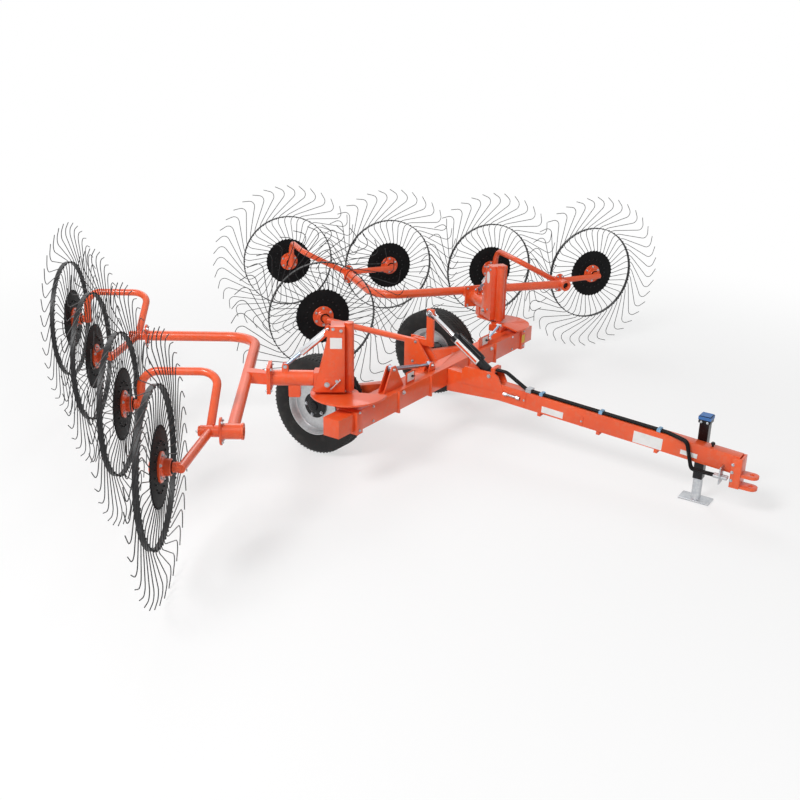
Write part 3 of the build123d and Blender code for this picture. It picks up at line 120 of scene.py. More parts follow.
def make_node(tree, kind, output, inputs, **settings):
    """A node with its settings made first and its sockets fed by name or place."""
    node = tree.nodes.new(kind)
    for name, setting in settings.items():
        setattr(node, name, setting)
    for key, value in inputs.items():
        feed(tree, node.inputs[key], value)
    return Value(tree, node.outputs[output])


class Finish:
    """A material whose colour, roughness and relief come from a few noises on Object coordinates."""

    def __init__(self, name, colour, roughness, metallic=0.0, coat=0.0, coat_roughness=0.1, specular=0.5):
        self.material = bpy.data.materials.new(name)
        self.material.use_nodes = True
        self.tree = self.material.node_tree
        self.shader = self.tree.nodes["Principled BSDF"]
        self.place = make_node(self.tree, "ShaderNodeTexCoord", "Object", {})
        self.set("Base Color", (*colour, 1))
        self.set("Roughness", roughness)
        self.set("Metallic", metallic)
        self.set("Coat Weight", coat)
        self.set("Coat Roughness", coat_roughness)
        self.set("Specular IOR Level", specular)

    def set(self, name, value):
        feed(self.tree, self.shader.inputs[name], value)

    def noise(self, scale, detail=3.0, stretch=None):
        place = self.place
        if stretch:
            inputs = {"Vector": place, "Scale": stretch}
            place = make_node(self.tree, "ShaderNodeMapping", "Vector", inputs)
        inputs = {"Vector": place, "Scale": scale, "Detail": detail}
        return make_node(self.tree, "ShaderNodeTexNoise", "Fac", inputs)

    def cells(self, scale):
        inputs = {"Vector": self.place, "Scale": scale}
        return make_node(self.tree, "ShaderNodeTexVoronoi", "Distance", inputs)

    def height(self):
        return make_node(self.tree, "ShaderNodeSeparateXYZ", "Z", {0: self.place})

    def mix(self, share, first, second):
        """A colour between two colours."""
        node = self.tree.nodes.new("ShaderNodeMix")
        node.data_type = "RGBA"
        feed(self.tree, node.inputs["Factor"], share)
        for socket, colour in (("A", first), ("B", second)):
            colour = colour if isinstance(colour, Value) else (*colour, 1)
            feed(self.tree, [s for s in node.inputs if s.name == socket and s.type == "RGBA"][0], colour)
        return Value(self.tree, [s for s in node.outputs if s.type == "RGBA"][0])

    def relief(self, height, distance, strength):
        inputs = {"Height": height, "Distance": distance, "Strength": strength}
        self.set("Normal", make_node(self.tree, "ShaderNodeBump", "Normal", inputs))


def gloss_paint(name, colour, shade, dust):
    """Baked gloss paint: a hint of orange peel, uneven gloss and road dust low down and in patches."""
    paint = Finish(name, colour, 0.34, coat=0.3, coat_roughness=0.08, specular=0.4)
    broad = paint.noise(2.2)
    fine = paint.noise(38.0, 5.0)
    low = 1 - paint.height().over(0.35, 0.6)
    dusty = fine.over(0.56, 0.14) * 0.1 + low * broad * 0.12
    paint.set("Base Color", paint.mix(dusty, paint.mix(broad.over(0.5, 0.5), colour, shade), dust))
    paint.set("Roughness", 0.3 + fine * 0.12 + dusty * 0.5)
    paint.relief(paint.noise(260.0, 2.0), 0.0002, 0.35)
    return paint.material


def black_paint(name, colour, edge, roughness):
    """Thin black paint on steel, rubbed paler in streaks."""
    paint = Finish(name, colour, roughness, specular=0.3)
    rubbed = paint.noise(30.0, 4.0).over(0.62, 0.12)
    paint.set("Base Color", paint.mix(rubbed * 0.5, colour, edge))
    paint.set("Roughness", roughness + 0.15 * paint.noise(90.0))
    paint.relief(paint.noise(320.0, 2.0), 0.0003, 0.4)
    return paint.material


def bare_metal(name, colour, shade, roughness, brushed):
    """Zinc plate or chrome: patchy tone, with fine lines where it is brushed."""
    metal = Finish(name, colour, roughness, metallic=1.0)
    patches = metal.cells(55.0)
    lines = metal.noise(40.0, 4.0, (1, 1, 12) if brushed else None)
    metal.set("Base Color", metal.mix(patches, colour, shade))
    metal.set("Roughness", roughness + 0.12 * lines)
    metal.relief(lines, 0.0002, 0.3)
    return metal.material


def rubber(name, colour, dust, roughness, specular=0.35):
    """Matt rubber with a dry bloom."""
    skin = Finish(name, colour, roughness, specular=specular)
    bloom = skin.noise(14.0, 5.0)
    skin.set("Base Color", skin.mix(bloom.over(0.58, 0.3) * 0.45, colour, dust))
    skin.set("Roughness", roughness + 0.2 * bloom)
    skin.relief(skin.noise(420.0, 3.0), 0.0004, 0.5)
    return skin.material


ORANGE = gloss_paint("orange_gloss_paint", (0.86, 0.105, 0.02), (0.74, 0.078, 0.016), (0.42, 0.3, 0.2))
TINE_BLACK = black_paint("tine_black_paint", (0.008, 0.008, 0.009), (0.06, 0.06, 0.065), 0.34)
DISC_BLACK = rubber("disc_black_rubber", (0.005, 0.005, 0.0055), (0.014, 0.014, 0.014), 0.5, 0.1)
CYLINDER_BLACK = black_paint("cylinder_black_gloss", (0.004, 0.0045, 0.006), (0.02, 0.021, 0.025), 0.22)
TYRE = rubber("tyre_rubber", (0.01, 0.01, 0.01), (0.05, 0.047, 0.043), 0.6)
HOSE = rubber("hose_rubber", (0.004, 0.004, 0.0045), (0.014, 0.014, 0.014), 0.42, 0.15)
RIM_SILVER = bare_metal("rim_silver_paint", (0.62, 0.63, 0.64), (0.5, 0.51, 0.52), 0.38, False)
ZINC = bare_metal("zinc_plate", (0.58, 0.59, 0.6), (0.42, 0.44, 0.47), 0.3, False)
CHROME = bare_metal("hard_chrome", (0.8, 0.81, 0.83), (0.74, 0.75, 0.77), 0.08, True)
BLUE_STEEL = bare_metal("blue_passivated_steel", (0.36, 0.45, 0.56), (0.28, 0.36, 0.46), 0.26, True)
BLANK = rubber("blank_white_decal", (0.78, 0.78, 0.77), (0.6, 0.6, 0.58), 0.4)
YELLOW = rubber("blank_yellow_plate", (0.75, 0.5, 0.03), (0.6, 0.4, 0.05), 0.4)
BLUE = rubber("blue_plastic", (0.05, 0.16, 0.42), (0.08, 0.2, 0.4), 0.35)
CLIP_BLUE = rubber("clamp_pale_blue", (0.22, 0.42, 0.62), (0.3, 0.48, 0.62), 0.35)


# Shapes

TINY, WELD_GAP, SKIN_WELD_GAP = 1e-7, 1e-6, 1e-5
SOFT_ANGLE = 38.0  # degrees between faces, above which an edge is sharp
BEND_SHARE = 0.49  # how much of a run a bend may take


def stand(origin, x_dir, z_dir):
    """The place of a local frame: x, y and z axes as columns."""
    z_axis = Vector(z_dir).normalized()
    x_axis = Vector(x_dir)
    x_axis = (x_axis - z_axis * x_axis.dot(z_axis)).normalized()
    y_axis = z_axis.cross(x_axis)
    place = Matrix((x_axis, y_axis, z_axis)).transposed().to_4x4()
    place.translation = Vector(origin)
    return place


UPRIGHT = 0.9  # a direction's rise, above which x is taken from the left


def facing(origin, z_dir):
    """A local frame with z along a direction."""
    z_axis = Vector(z_dir).normalized()
    helper = UP if abs(z_axis.z) < UPRIGHT else LEFT
    return stand(origin, helper.cross(z_axis), z_axis)


MIRROR = Matrix.Scale(-1, 4, LEFT)


def to_side(place, side):
    """A place on the left wing, or its mirror image on the right."""
    return place if side > 0 else MIRROR @ place


def in_scene(name, data):
    """A new object of the scene."""
    thing = bpy.data.objects.new(name, data)
    bpy.context.scene.collection.objects.link(thing)
    return thing


def worked_out(thing):
    """The mesh that an object's modifiers or curve give; the object goes."""
    bpy.context.view_layer.update()
    seen = thing.evaluated_get(bpy.context.evaluated_depsgraph_get())
    mesh = bpy.data.meshes.new_from_object(seen)
    bpy.data.objects.remove(thing)
    return mesh


def smoothed(mesh, sharp=SOFT_ANGLE):
    """Smooth faces, with sharp edges by angle."""
    for polygon in mesh.polygons:
        polygon.use_smooth = True
    mesh.set_sharp_from_angle(angle=math.radians(sharp))
    return mesh


def finish_mesh(shape, sharp=SOFT_ANGLE):
    """Turns a bmesh into a mesh with smooth faces."""
    bmesh.ops.remove_doubles(shape, verts=shape.verts, dist=WELD_GAP)
    bmesh.ops.recalc_face_normals(shape, faces=shape.faces)
    mesh = bpy.data.meshes.new("shape")
    shape.to_mesh(mesh)
    shape.free()
    return smoothed(mesh, sharp)


def circle(steps):
    """Cosine and sine of even steps round a circle."""
    turns = [2 * math.pi * step / steps for step in range(steps)]
    return [(math.cos(turn), math.sin(turn)) for turn in turns]


def polar(radius, degrees, height=0.0):
    """A place by its radius and turn about z."""
    turn = math.radians(degrees)
    return (radius * math.cos(turn), radius * math.sin(turn), height)


def in_mm(*points):
    return [(x * MM, y * MM) for x, y in points]


def turned(profile, steps, closed=False):
    """A turned shape about z from (radius, height) points; closed profiles make a ring."""
    shape = bmesh.new()
    rings = []
    for radius, height in profile:
        turns = circle(steps) if radius > TINY else [(0, 0)]
        rings.append([shape.verts.new((radius * x, radius * y, height)) for x, y in turns])
    pairs = list(zip(rings, rings[1:]))
    if closed:
        pairs.append((rings[-1], rings[0]))
    for low, high in pairs:
        for step in range(steps):
            places = ((low, step), (low, step + 1), (high, step + 1), (high, step))
            corners = dict.fromkeys(ring[turn % len(ring)] for ring, turn in places)
            if len(corners) > 2:
                shape.faces.new(list(corners))
    return shape


def band(inner, outer, low, high, steps):
    """A flat-sided ring about z."""
    return turned(((inner, low), (outer, low), (outer, high), (inner, high)), steps, closed=True)


def rounded(corners, radius, steps):
    """A route through corners with each inner corner turned as an arc."""
    corners = [Vector(corner) for corner in corners]
    route = [corners[0]]
    for before, corner, after in zip(corners, corners[1:], corners[2:]):
        into, out = (corner - before).normalized(), (after - corner).normalized()
        bend = into.angle(out)
        room = min((corner - before).length, (after - corner).length) * BEND_SHARE
        reach = min(radius * math.tan(bend / 2), room)
        arc = reach / math.tan(bend / 2)
        centre = corner + (out - into).normalized() * (arc / math.cos(bend / 2))
        start = corner - into * reach - centre
        turn_axis = into.cross(out).normalized()
        for step in range(steps + 1):
            turn = Matrix.Rotation(bend * step / steps, 3, turn_axis)
            route.append(centre + turn @ start)
    route.append(corners[-1])
    return route


def bar(route, radius, steps):
    """A round bar along a route, closed at both ends."""
    shape = bmesh.new()
    side = (route[1] - route[0]).normalized().orthogonal().normalized()
    rings = []
    for number, point in enumerate(route):
        before = route[max(number - 1, 0)]
        after = route[min(number + 1, len(route) - 1)]
        heading = (after - before).normalized()
        side = (side - heading * side.dot(heading)).normalized()
        other = heading.cross(side)
        spots = [point + (side * x + other * y) * radius for x, y in circle(steps)]
        rings.append([shape.verts.new(spot) for spot in spots])
    for low, high in zip(rings, rings[1:]):
        for step in range(steps):
            after = (step + 1) % steps
            shape.faces.new((low[step], low[after], high[after], high[step]))
    shape.faces.new(rings[0][::-1])
    shape.faces.new(rings[-1])
    return shape


def bevelled(shape, edges, width):
    bmesh.ops.bevel(shape, geom=edges, offset=width, segments=2, affect="EDGES")
    return shape


def prism(outline, thickness, chamfer=0.0):
    """A plate from an outline in x and y, from z = 0 upwards, with chamfered rims."""
    shape = bmesh.new()
    face = shape.faces.new([shape.verts.new((x, y, 0)) for x, y in outline])
    grown = bmesh.ops.extrude_face_region(shape, geom=[face])
    raised = [item for item in grown["geom"] if isinstance(item, bmesh.types.BMVert)]
    bmesh.ops.translate(shape, verts=raised, vec=(0, 0, thickness))
    if chamfer:
        rims = [edge for edge in shape.edges if abs(edge.verts[0].co.z - edge.verts[1].co.z) < TINY]
        bevelled(shape, rims, chamfer)
    return shape


def four(x, y):
    """The corners of a box or a bolt pattern, in turn."""
    return ((-x, -y), (x, -y), (x, y), (-x, y))


def slab(width, depth, thickness, chamfer=0.0):
    """A plate on z = 0, centred in x and y."""
    return prism(four(width / 2, depth / 2), thickness, chamfer)


def moved(shape, place):
    """A shape set at a place of its own frame."""
    shape.transform(Matrix.Translation(place))
    return shape


def gathered(parts):
    """One bmesh from several (bmesh, place) pairs."""
    whole = bmesh.new()
    for shape, place in parts:
        bmesh.ops.recalc_face_normals(shape, faces=shape.faces)
        shape.transform(place)
        carrier = bpy.data.meshes.new("carrier")
        shape.to_mesh(carrier)
        shape.free()
        whole.from_mesh(carrier)
        bpy.data.meshes.remove(carrier)
    return whole


def joined(*meshes):
    """One mesh from several in the same frame."""
    whole = bmesh.new()
    for mesh in meshes:
        whole.from_mesh(mesh)
    mesh = bpy.data.meshes.new("joined")
    whole.to_mesh(mesh)
    whole.free()
    mesh.set_sharp_from_angle(angle=math.radians(SOFT_ANGLE))
    return mesh


REPEAT_NODES = {
    "entry": "NodeGroupInput",
    "spots": "GeometryNodeMeshLine",
    "index": "GeometryNodeInputIndex",
    "turn": "ShaderNodeMath",
    "spin": "ShaderNodeCombineXYZ",
    "copies": "GeometryNodeInstanceOnPoints",
    "real": "GeometryNodeRealizeInstances",
    "leave": "NodeGroupOutput",
}
REPEAT_LINKS = (
    ("entry", "Count", "spots", "Count"),
    ("index", "Index", "turn", 0),
    ("entry", "Turn", "turn", 1),
    ("turn", 0, "spin", "Z"),
    ("spots", 0, "copies", "Points"),
    ("entry", "Geometry", "copies", "Instance"),
    ("spin", 0, "copies", "Rotation"),
    ("copies", 0, "real", 0),
    ("real", 0, "leave", 0),
)


def repeat_tree():
    """Geometry Nodes that set copies of a shape round the z axis."""
    tree = bpy.data.node_groups.new("repeat_round", "GeometryNodeTree")
    for title, kind in (("Geometry", "Geometry"), ("Count", "Int"), ("Turn", "Float")):
        tree.interface.new_socket(title, in_out="INPUT", socket_type=f"NodeSocket{kind}")
    tree.interface.new_socket("Geometry", in_out="OUTPUT", socket_type="NodeSocketGeometry")
    made = {name: tree.nodes.new(kind) for name, kind in REPEAT_NODES.items()}
    made["turn"].operation = "MULTIPLY"
    made["spots"].inputs["Offset"].default_value = (0, 0, 0)
    for source, output, target, entry in REPEAT_LINKS:
        tree.links.new(made[source].outputs[output], made[target].inputs[entry])
    return tree


REPEATS = repeat_tree()
SOCKETS = {item.name: item.identifier for item in REPEATS.interface.items_tree if item.in_out == "INPUT"}


def repeated(shape, count):
    """A mesh of evenly turned copies of one shape, set out by the Geometry Nodes tree."""
    seed_mesh = finish_mesh(shape)
    seed = in_scene("seed", seed_mesh)
    modifier = seed.modifiers.new("repeats", "NODES")
    modifier.node_group = REPEATS
    modifier[SOCKETS["Count"]] = count
    modifier[SOCKETS["Turn"]] = 2 * math.pi / count
    mesh = worked_out(seed)
    bpy.data.meshes.remove(seed_mesh)
    return mesh


def piece(name, mesh, place, finish, body, replaces=()):
    """Puts a mesh at its place in the shared frame, coats it and lets it ride on a body."""
    mesh.transform(place)
    if place.determinant() < 0:
        mesh.flip_normals()
    mesh.name = name
    mesh.materials.clear()
    mesh.materials.append(finish)
    thing = in_scene(name, mesh)
    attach(thing, body)
    if replaces:
        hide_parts(*replaces)


def shaped(name, parts, place, finish, body, replaces=()):
    """One piece from several (bmesh, place) pairs."""
    piece(name, finish_mesh(gathered(parts)), place, finish, body, replaces)


def hexagon(radius):
    return [(radius * x, radius * y) for x, y in circle(6)]


def bolt(size):
    """A hexagon head on a washer with a stub of thread, z outwards, seated at z = 0."""
    washer = turned(((0, 0), (size * 1.15, 0), (size * 1.15, size * 0.16), (0, size * 0.16)), steps=16)
    head = prism(hexagon(size * 0.95), size * 0.62, size * 0.08)
    thread_shares = ((0, 0), (0.5, 0), (0.5, 0.95), (0.4, 1.05), (0, 1.05))
    thread = turned([(size * x, size * z) for x, z in thread_shares], steps=12)
    up = Matrix.Translation((0, 0, size * 0.14))
    return gathered(((washer, Matrix()), (head, up), (thread, up)))


# Refined copies of the frame's own pieces: merged, with soft rims that catch the light

RIM = 1.4 * MM
RIM_ANGLE, SKIN_ANGLE, FLAT_ANGLE = 40.0, 34.0, 0.4


def refined(node, finish, slot):
    source = nodes[node]
    shape = bmesh.new()
    shape.from_mesh(source.data)
    bmesh.ops.remove_doubles(shape, verts=shape.verts, dist=SKIN_WELD_GAP)
    flat = math.radians(FLAT_ANGLE)
    bmesh.ops.dissolve_limit(shape, angle_limit=flat, verts=shape.verts, edges=shape.edges)
    mesh = bpy.data.meshes.new(f"{node}_skin")
    shape.to_mesh(mesh)
    shape.free()
    thing = in_scene(f"{node}_skin", mesh)
    bevel = thing.modifiers.new("rims", "BEVEL")
    bevel.width = RIM
    bevel.segments = 2
    bevel.limit_method = "ANGLE"
    bevel.angle_limit = math.radians(RIM_ANGLE)
    bevel.use_clamp_overlap = True
    skin = smoothed(worked_out(thing), SKIN_ANGLE)
    piece(f"{node}_skin", skin, HOME, finish, body_of(source)[0], (node,))


KEPT_FORMS = ("cross_beam", "trailing_arm", "kicker_arm")
MADE_BELOW = ("_rocker", "_beam", "_arm", "_tyre", "_rim", "hoses")
PLAIN_SKIN = (ORANGE, "frame_paint")
SKINS = {
    "strut_tube": (CHROME, "frame_paint"),
    "strut_rod": (BLUE_STEEL, "zinc"),
    "cylinder_barrel": (CYLINDER_BLACK, "wheel_black"),
    "cylinder_rod": (CHROME, "chrome"),
    "jack_tube": (CYLINDER_BLACK, "wheel_black"),
    "jack_leg": (ZINC, "zinc"),
    "coupler_rack": (ZINC, "zinc"),
    "tie_bar": (BLUE_STEEL, "zinc"),
}
for node in sorted(nodes):
    form = node.removeprefix("left_").removeprefix("right_")
    tined = form.startswith(("rake_wheel", "kicker_wheel"))
    if not tined and (form in KEPT_FORMS or not node.endswith(MADE_BELOW)):
        refined(node, *SKINS.get(form, PLAIN_SKIN))


# Tined wheels, made once about their own axis (z ahead) and set at each hub

RAKE_RADIUS = 0.7
RING_RADIUS = 0.416
RING_BAND, RING_WALL = 30 * MM, 6 * MM
RING_FACE = -3.3 * MM
DISC_RADIUS = 0.209
DISC_BOLT_CIRCLE, HUB_BOLT_CIRCLE = 0.13, 0.064
TINE_COUNT = 40
TINE_CLIP = (14 * MM, 9 * MM, 8 * MM, 1 * MM)
WIRE = 2.8 * MM
TINE_BEND = 0.07
TIP_TURN = -14.5
RING_TURN, NUB_TURN = 9.5, 1.5
TINE_TURNS = (
    (0.16, -1.0), (DISC_RADIUS, 0.0), (RING_RADIUS, RING_TURN),
    (0.641, -23.5), (RAKE_RADIUS - 2 * MM, TIP_TURN),
)

tine_corners = [polar(radius, turn - TIP_TURN) for radius, turn in TINE_TURNS]
TINES = repeated(bar(rounded(tine_corners, TINE_BEND, steps=5), WIRE, steps=7), TINE_COUNT)
ring = band(RING_RADIUS - RING_WALL, RING_RADIUS, RING_FACE - RING_BAND, RING_FACE, steps=120)
clip_place = polar(RING_RADIUS - RING_WALL / 2, RING_TURN - TIP_TURN, -7 * MM)
CLIPS = repeated(moved(slab(*TINE_CLIP), clip_place), TINE_COUNT)

disc_profile = in_mm(
    (45, -5), (120, -5), (150, -4), (204, -4), (207, -2.5),
    (207, 2.5), (204, 4), (150, 4), (145, 5.2), (45, 5.2),
)
DISC = finish_mesh(turned(disc_profile, steps=80, closed=True))
nub = turned(in_mm((0, -4), (8, -4), (8, 4), (5, 5.4), (0, 5.4)), steps=10)
NUBS = repeated(moved(nub, polar(DISC_RADIUS - 5 * MM, NUB_TURN - TIP_TURN)), TINE_COUNT)
hub_profile = in_mm(
    (0, -46), (40, -46), (44, -42), (44, 3.3), (78, 3.3), (80, 5.3), (80, 13.3), (78, 15.3), (52, 15.3),
    (44, 23), (44, 58), (41, 61), (19, 61), (19, -37), (0, -37),
)
seal = band(24 * MM, 36 * MM, 60 * MM, 63 * MM, steps=32)
disc_bolt = moved(bolt(7 * MM), (DISC_BOLT_CIRCLE, 0, 4.8 * MM))
hub_bolt = moved(bolt(9 * MM), polar(HUB_BOLT_CIRCLE, 30, 15.1 * MM))
WHEEL_PARTS = (
    ("disc", joined(DISC, NUBS), DISC_BLACK, "wheel_black"),
    ("disc_bolts", repeated(disc_bolt, 20), TINE_BLACK, "wheel_black"),
    ("hub", finish_mesh(turned(hub_profile, steps=48)), ORANGE, "frame_paint"),
    ("hub_bolts", repeated(hub_bolt, 6), ZINC, "zinc"),
    ("seal", finish_mesh(seal), DISC_BLACK, "wheel_black"),
)
WIRES = joined(TINES, finish_mesh(ring), CLIPS)


def tined_wheel(node, place):
    """Dresses one tined wheel; the wires stand for the node."""
    piece(f"{node}_wires", WIRES.copy(), place, TINE_BLACK, node, (node,))
    for part, mesh, finish, slot in WHEEL_PARTS:
        piece(f"{node}_{part}", mesh.copy(), place, finish, node)


def spin_place(node):
    return Vector(joints[f"{node}_spin"]["pos_m"])


hub_place = spin_place("left_rake_wheel_1")
rearward = Vector(joints["left_rake_wheel_1_spin"]["axis"])
along = -UP.cross(rearward)
for side, sign in SIDES:
    for number in range(1, 5):
        wheel_place = stand(spin_place(f"left_rake_wheel_{number}"), along, -rearward)
        tined_wheel(f"{side}_rake_wheel_{number}", to_side(wheel_place, sign))
tined_wheel("kicker_wheel", stand(spin_place("kicker_wheel"), along, -rearward))


# Wings: round tubes, flanges, bolts and welds, laid out from the rearmost hub

HUB_HEIGHT = hub_place.z
WHEEL_STEP, WHEEL_SETBACK = 0.852, 0.388
PAIR_STEP, PAIR_SETBACK = 2 * WHEEL_STEP, 2 * WHEEL_SETBACK
PAIRS = (("rear_rocker", 0, 0), ("front_rocker", PAIR_STEP, PAIR_SETBACK))
PIVOT_ALONG, PIVOT_SETBACK = 0.390, 0.560
FRONT_PIVOT = PIVOT_ALONG + PAIR_STEP
STUB_SETBACK = 0.110
ROCKER_TOP = HUB_HEIGHT + 0.205
ROCKER_BEND = 0.110
TUBE, COLLAR, AXLE = 24 * MM, 27 * MM, 17.5 * MM
COLLAR_END, AXLE_END = 64 * MM, 30 * MM
SLEEVE, SLEEVE_HALF = 33 * MM, 53 * MM
NIPPLE_AHEAD, NIPPLE_HEIGHT, NIPPLE = 20 * MM, 12 * MM, 4 * MM
FLANGE_SETBACK = PIVOT_SETBACK + SLEEVE_HALF + 1 * MM
CAP_SETBACK = PIVOT_SETBACK - SLEEVE_HALF - 1 * MM
CAP_BACK = CAP_SETBACK - 8 * MM
CAP, PIN = 29 * MM, 20 * MM
FLANGE, FLANGE_HEIGHT, FLANGE_WIDTH = 12 * MM, 0.160, 0.084
FLANGE_BACK = FLANGE_SETBACK + FLANGE
FLANGE_BOLT_X, FLANGE_BOLT_Z = 22 * MM, 57 * MM
BEAM_TUBE, BEAM_BEND = 35 * MM, 0.220
BEAM_CORNER, BEAM_END = 1.390, 1.455
CLAMP, CLAMP_LENGTH, CLAMP_BORE = 44 * MM, 118 * MM, 26 * MM
CLAMP_LIP, CLAMP_DEPTH = 3 * MM, 30 * MM
CLAMP_FROM = PAIR_SETBACK + FLANGE_BACK
ARM_ALONG, ARM_HEIGHT = 1.190, 0.688
JOINT_SETBACK = 1.560
PLATE_WIDTH, PLATE_HEIGHT = 0.150, 0.175
PLATE_BOLT_X, PLATE_BOLT_Z = 58 * MM, 70 * MM
LEG_WIDTH, FACE_WIDTH, STUB_RISE = 0.092, 0.074, 0.037
ARM_TUBE = 50 * MM
EYE_FROM, EYE_TO = 1.840, 1.960
EYE_WIDTH, EYE_HEIGHT = 0.100, 0.104
REST_SETBACK, REST_HEIGHT = 1.6795, 0.609
REST_SIZE = (0.060, 0.083, 0.075)
LUG_SETBACK, LUG_PIN = 1.660, 0.768
LUG_INNER, LUG_THICK, LUG_DROP = 14 * MM, 8 * MM, 20 * MM
LUG_HEIGHT, LUG_WIDTH = 0.080, 0.040
SOFT = 1.6 * MM
BEAD, ARM_BEAD = 3.5 * MM, 4.5 * MM


def wing(step, setback, height=HUB_HEIGHT):
    """A place on the left wing: along the wheels' plane, ahead of it, and its height."""
    return Vector((hub_place.x, hub_place.y, height)) + along * step - rearward * setback


def reach_at(x, reach, height):
    """A place by how far it lies ahead of the rearmost hubs."""
    return Vector((x, hub_place.y - reach, height))


def rod(start, end, radius, steps=32, soft=SOFT):
    """A round bar between two places, with soft rims."""
    reach = (end - start).length
    soft = min(soft, radius / 3, reach / 3)
    low_rim = ((0, 0), (radius - soft, 0), (radius, soft))
    high_rim = ((radius, reach - soft), (radius - soft, reach), (0, reach))
    return turned(low_rim + high_rim, steps), facing(start, end - start)


def weld(place, heading, radius, bead=BEAD):
    """A rounded bead of weld where a round tube meets a plate."""
    profile = [(radius + bead * x, bead * y) for x, y in circle(8)]
    return turned(profile, steps=32, closed=True), facing(place, heading)


def slot_outline(height, width):
    """An upright plate with round ends."""
    outline = []
    steps = 10
    for end in (1, -1):
        for step in range(steps + 1):
            turn = math.pi * step / steps + (0 if end > 0 else math.pi)
            rise = end * (height - width) / 2 + width / 2 * math.sin(turn)
            outline.append((width / 2 * math.cos(turn), rise))
    return outline


def upright(place, heading):
    """A local frame with y upwards and z along a level direction."""
    return stand(place, UP.cross(heading), heading)


def box_at(place, heading, width, height, depth, chamfer=2 * MM):
    """A block from a place along a level heading."""
    return slab(width, height, depth, chamfer), upright(place, heading)


def bolt_at(place, heading, size):
    return bolt(size), facing(place, heading)


def rocker_parts(step, setback):
    near, far = setback + STUB_SETBACK, setback + WHEEL_SETBACK + STUB_SETBACK
    pivot_step, pivot_setback = step + PIVOT_ALONG, setback + PIVOT_SETBACK
    pivot = wing(pivot_step, pivot_setback)
    foot, knee = wing(step, near, HUB_HEIGHT - TUBE), wing(step, near, ROCKER_TOP)
    corners = foot, knee, wing(step, pivot_setback, ROCKER_TOP), pivot
    straight_end = wing(step + WHEEL_STEP, far)
    straight_end += (straight_end - pivot).normalized() * TUBE
    bent_tube = bar(rounded(corners, ROCKER_BEND, steps=10), TUBE, steps=28)
    parts = [(bent_tube, HOME), rod(pivot, straight_end, TUBE)]
    for wheel_step, wheel_setback in ((step, setback), (step + WHEEL_STEP, setback + WHEEL_SETBACK)):
        root = wing(wheel_step, wheel_setback + STUB_SETBACK)
        parts += [
            rod(root, wing(wheel_step, wheel_setback + COLLAR_END), COLLAR),
            rod(root, wing(wheel_step, wheel_setback - AXLE_END), AXLE),
            weld(root + rearward * TUBE, rearward, COLLAR),
        ]
    sleeve_end = rearward * SLEEVE_HALF
    parts.append(rod(pivot + sleeve_end, pivot - sleeve_end, SLEEVE))
    nipple = wing(pivot_step, pivot_setback + NIPPLE_AHEAD, HUB_HEIGHT + SLEEVE)
    parts.append(rod(nipple, nipple + UP * NIPPLE_HEIGHT, NIPPLE, steps=8))
    return parts


def stub_parts():
    """The tapered box from the beam to the arm's plate."""
    share = (ARM_ALONG - PIVOT_ALONG) / PAIR_STEP
    leg = wing(ARM_ALONG, BEAM_CORNER + share * (BEAM_END - BEAM_CORNER))
    face = wing(ARM_ALONG, JOINT_SETBACK - FLANGE, ARM_HEIGHT)
    stub = bmesh.new()
    ends = []
    for middle, width in ((leg, LEG_WIDTH), (face, FACE_WIDTH)):
        half, rise = along * (width / 2), UP * STUB_RISE
        spots = [middle + half * x + rise * z for x, z in four(1, 1)]
        ends.append([stub.verts.new(spot) for spot in spots])
    first, last = ends
    for corner in range(4):
        after = (corner + 1) % 4
        stub.faces.new((first[corner], first[after], last[after], last[corner]))
    stub.faces.new(first[::-1])
    stub.faces.new(last)
    plate = box_at(face, -rearward, PLATE_WIDTH, PLATE_HEIGHT, FLANGE)
    return [(bevelled(stub, stub.edges[:], 4 * MM), HOME), plate]


def beam_parts():
    corners = wing(PIVOT_ALONG, FLANGE_BACK), wing(PIVOT_ALONG, BEAM_CORNER), wing(FRONT_PIVOT, BEAM_END)
    parts = [(bar(rounded(corners, BEAM_BEND, steps=16), BEAM_TUBE, steps=36), HOME)]
    for (_, step, setback), tube in zip(PAIRS, (BEAM_TUBE, CLAMP)):
        step += PIVOT_ALONG
        flange_place, cap_back = wing(step, setback + FLANGE_SETBACK), wing(step, setback + CAP_BACK)
        flange = prism(slot_outline(FLANGE_HEIGHT, FLANGE_WIDTH), FLANGE, SOFT)
        parts += [
            (flange, upright(flange_place, -rearward)),
            rod(flange_place, cap_back, PIN),
            rod(wing(step, setback + CAP_SETBACK), cap_back, CAP),
            weld(wing(step, setback + FLANGE_BACK), rearward, tube),
        ]
    mouth, floor, rim = CLAMP_LENGTH, CLAMP_LENGTH - CLAMP_DEPTH, CLAMP + CLAMP_LIP
    clamp_profile = (
        (0, 0), (CLAMP - SOFT, 0), (CLAMP, SOFT), (CLAMP, mouth - 14 * MM), (rim, mouth - 12 * MM),
        (rim, mouth - SOFT), (rim - SOFT, mouth), (CLAMP_BORE + SOFT, mouth), (CLAMP_BORE, mouth - SOFT),
        (CLAMP_BORE, floor), (0, floor),
    )
    clamp_place = facing(wing(FRONT_PIVOT, CLAMP_FROM), -rearward)
    return parts + [(turned(clamp_profile, steps=40), clamp_place)] + stub_parts()


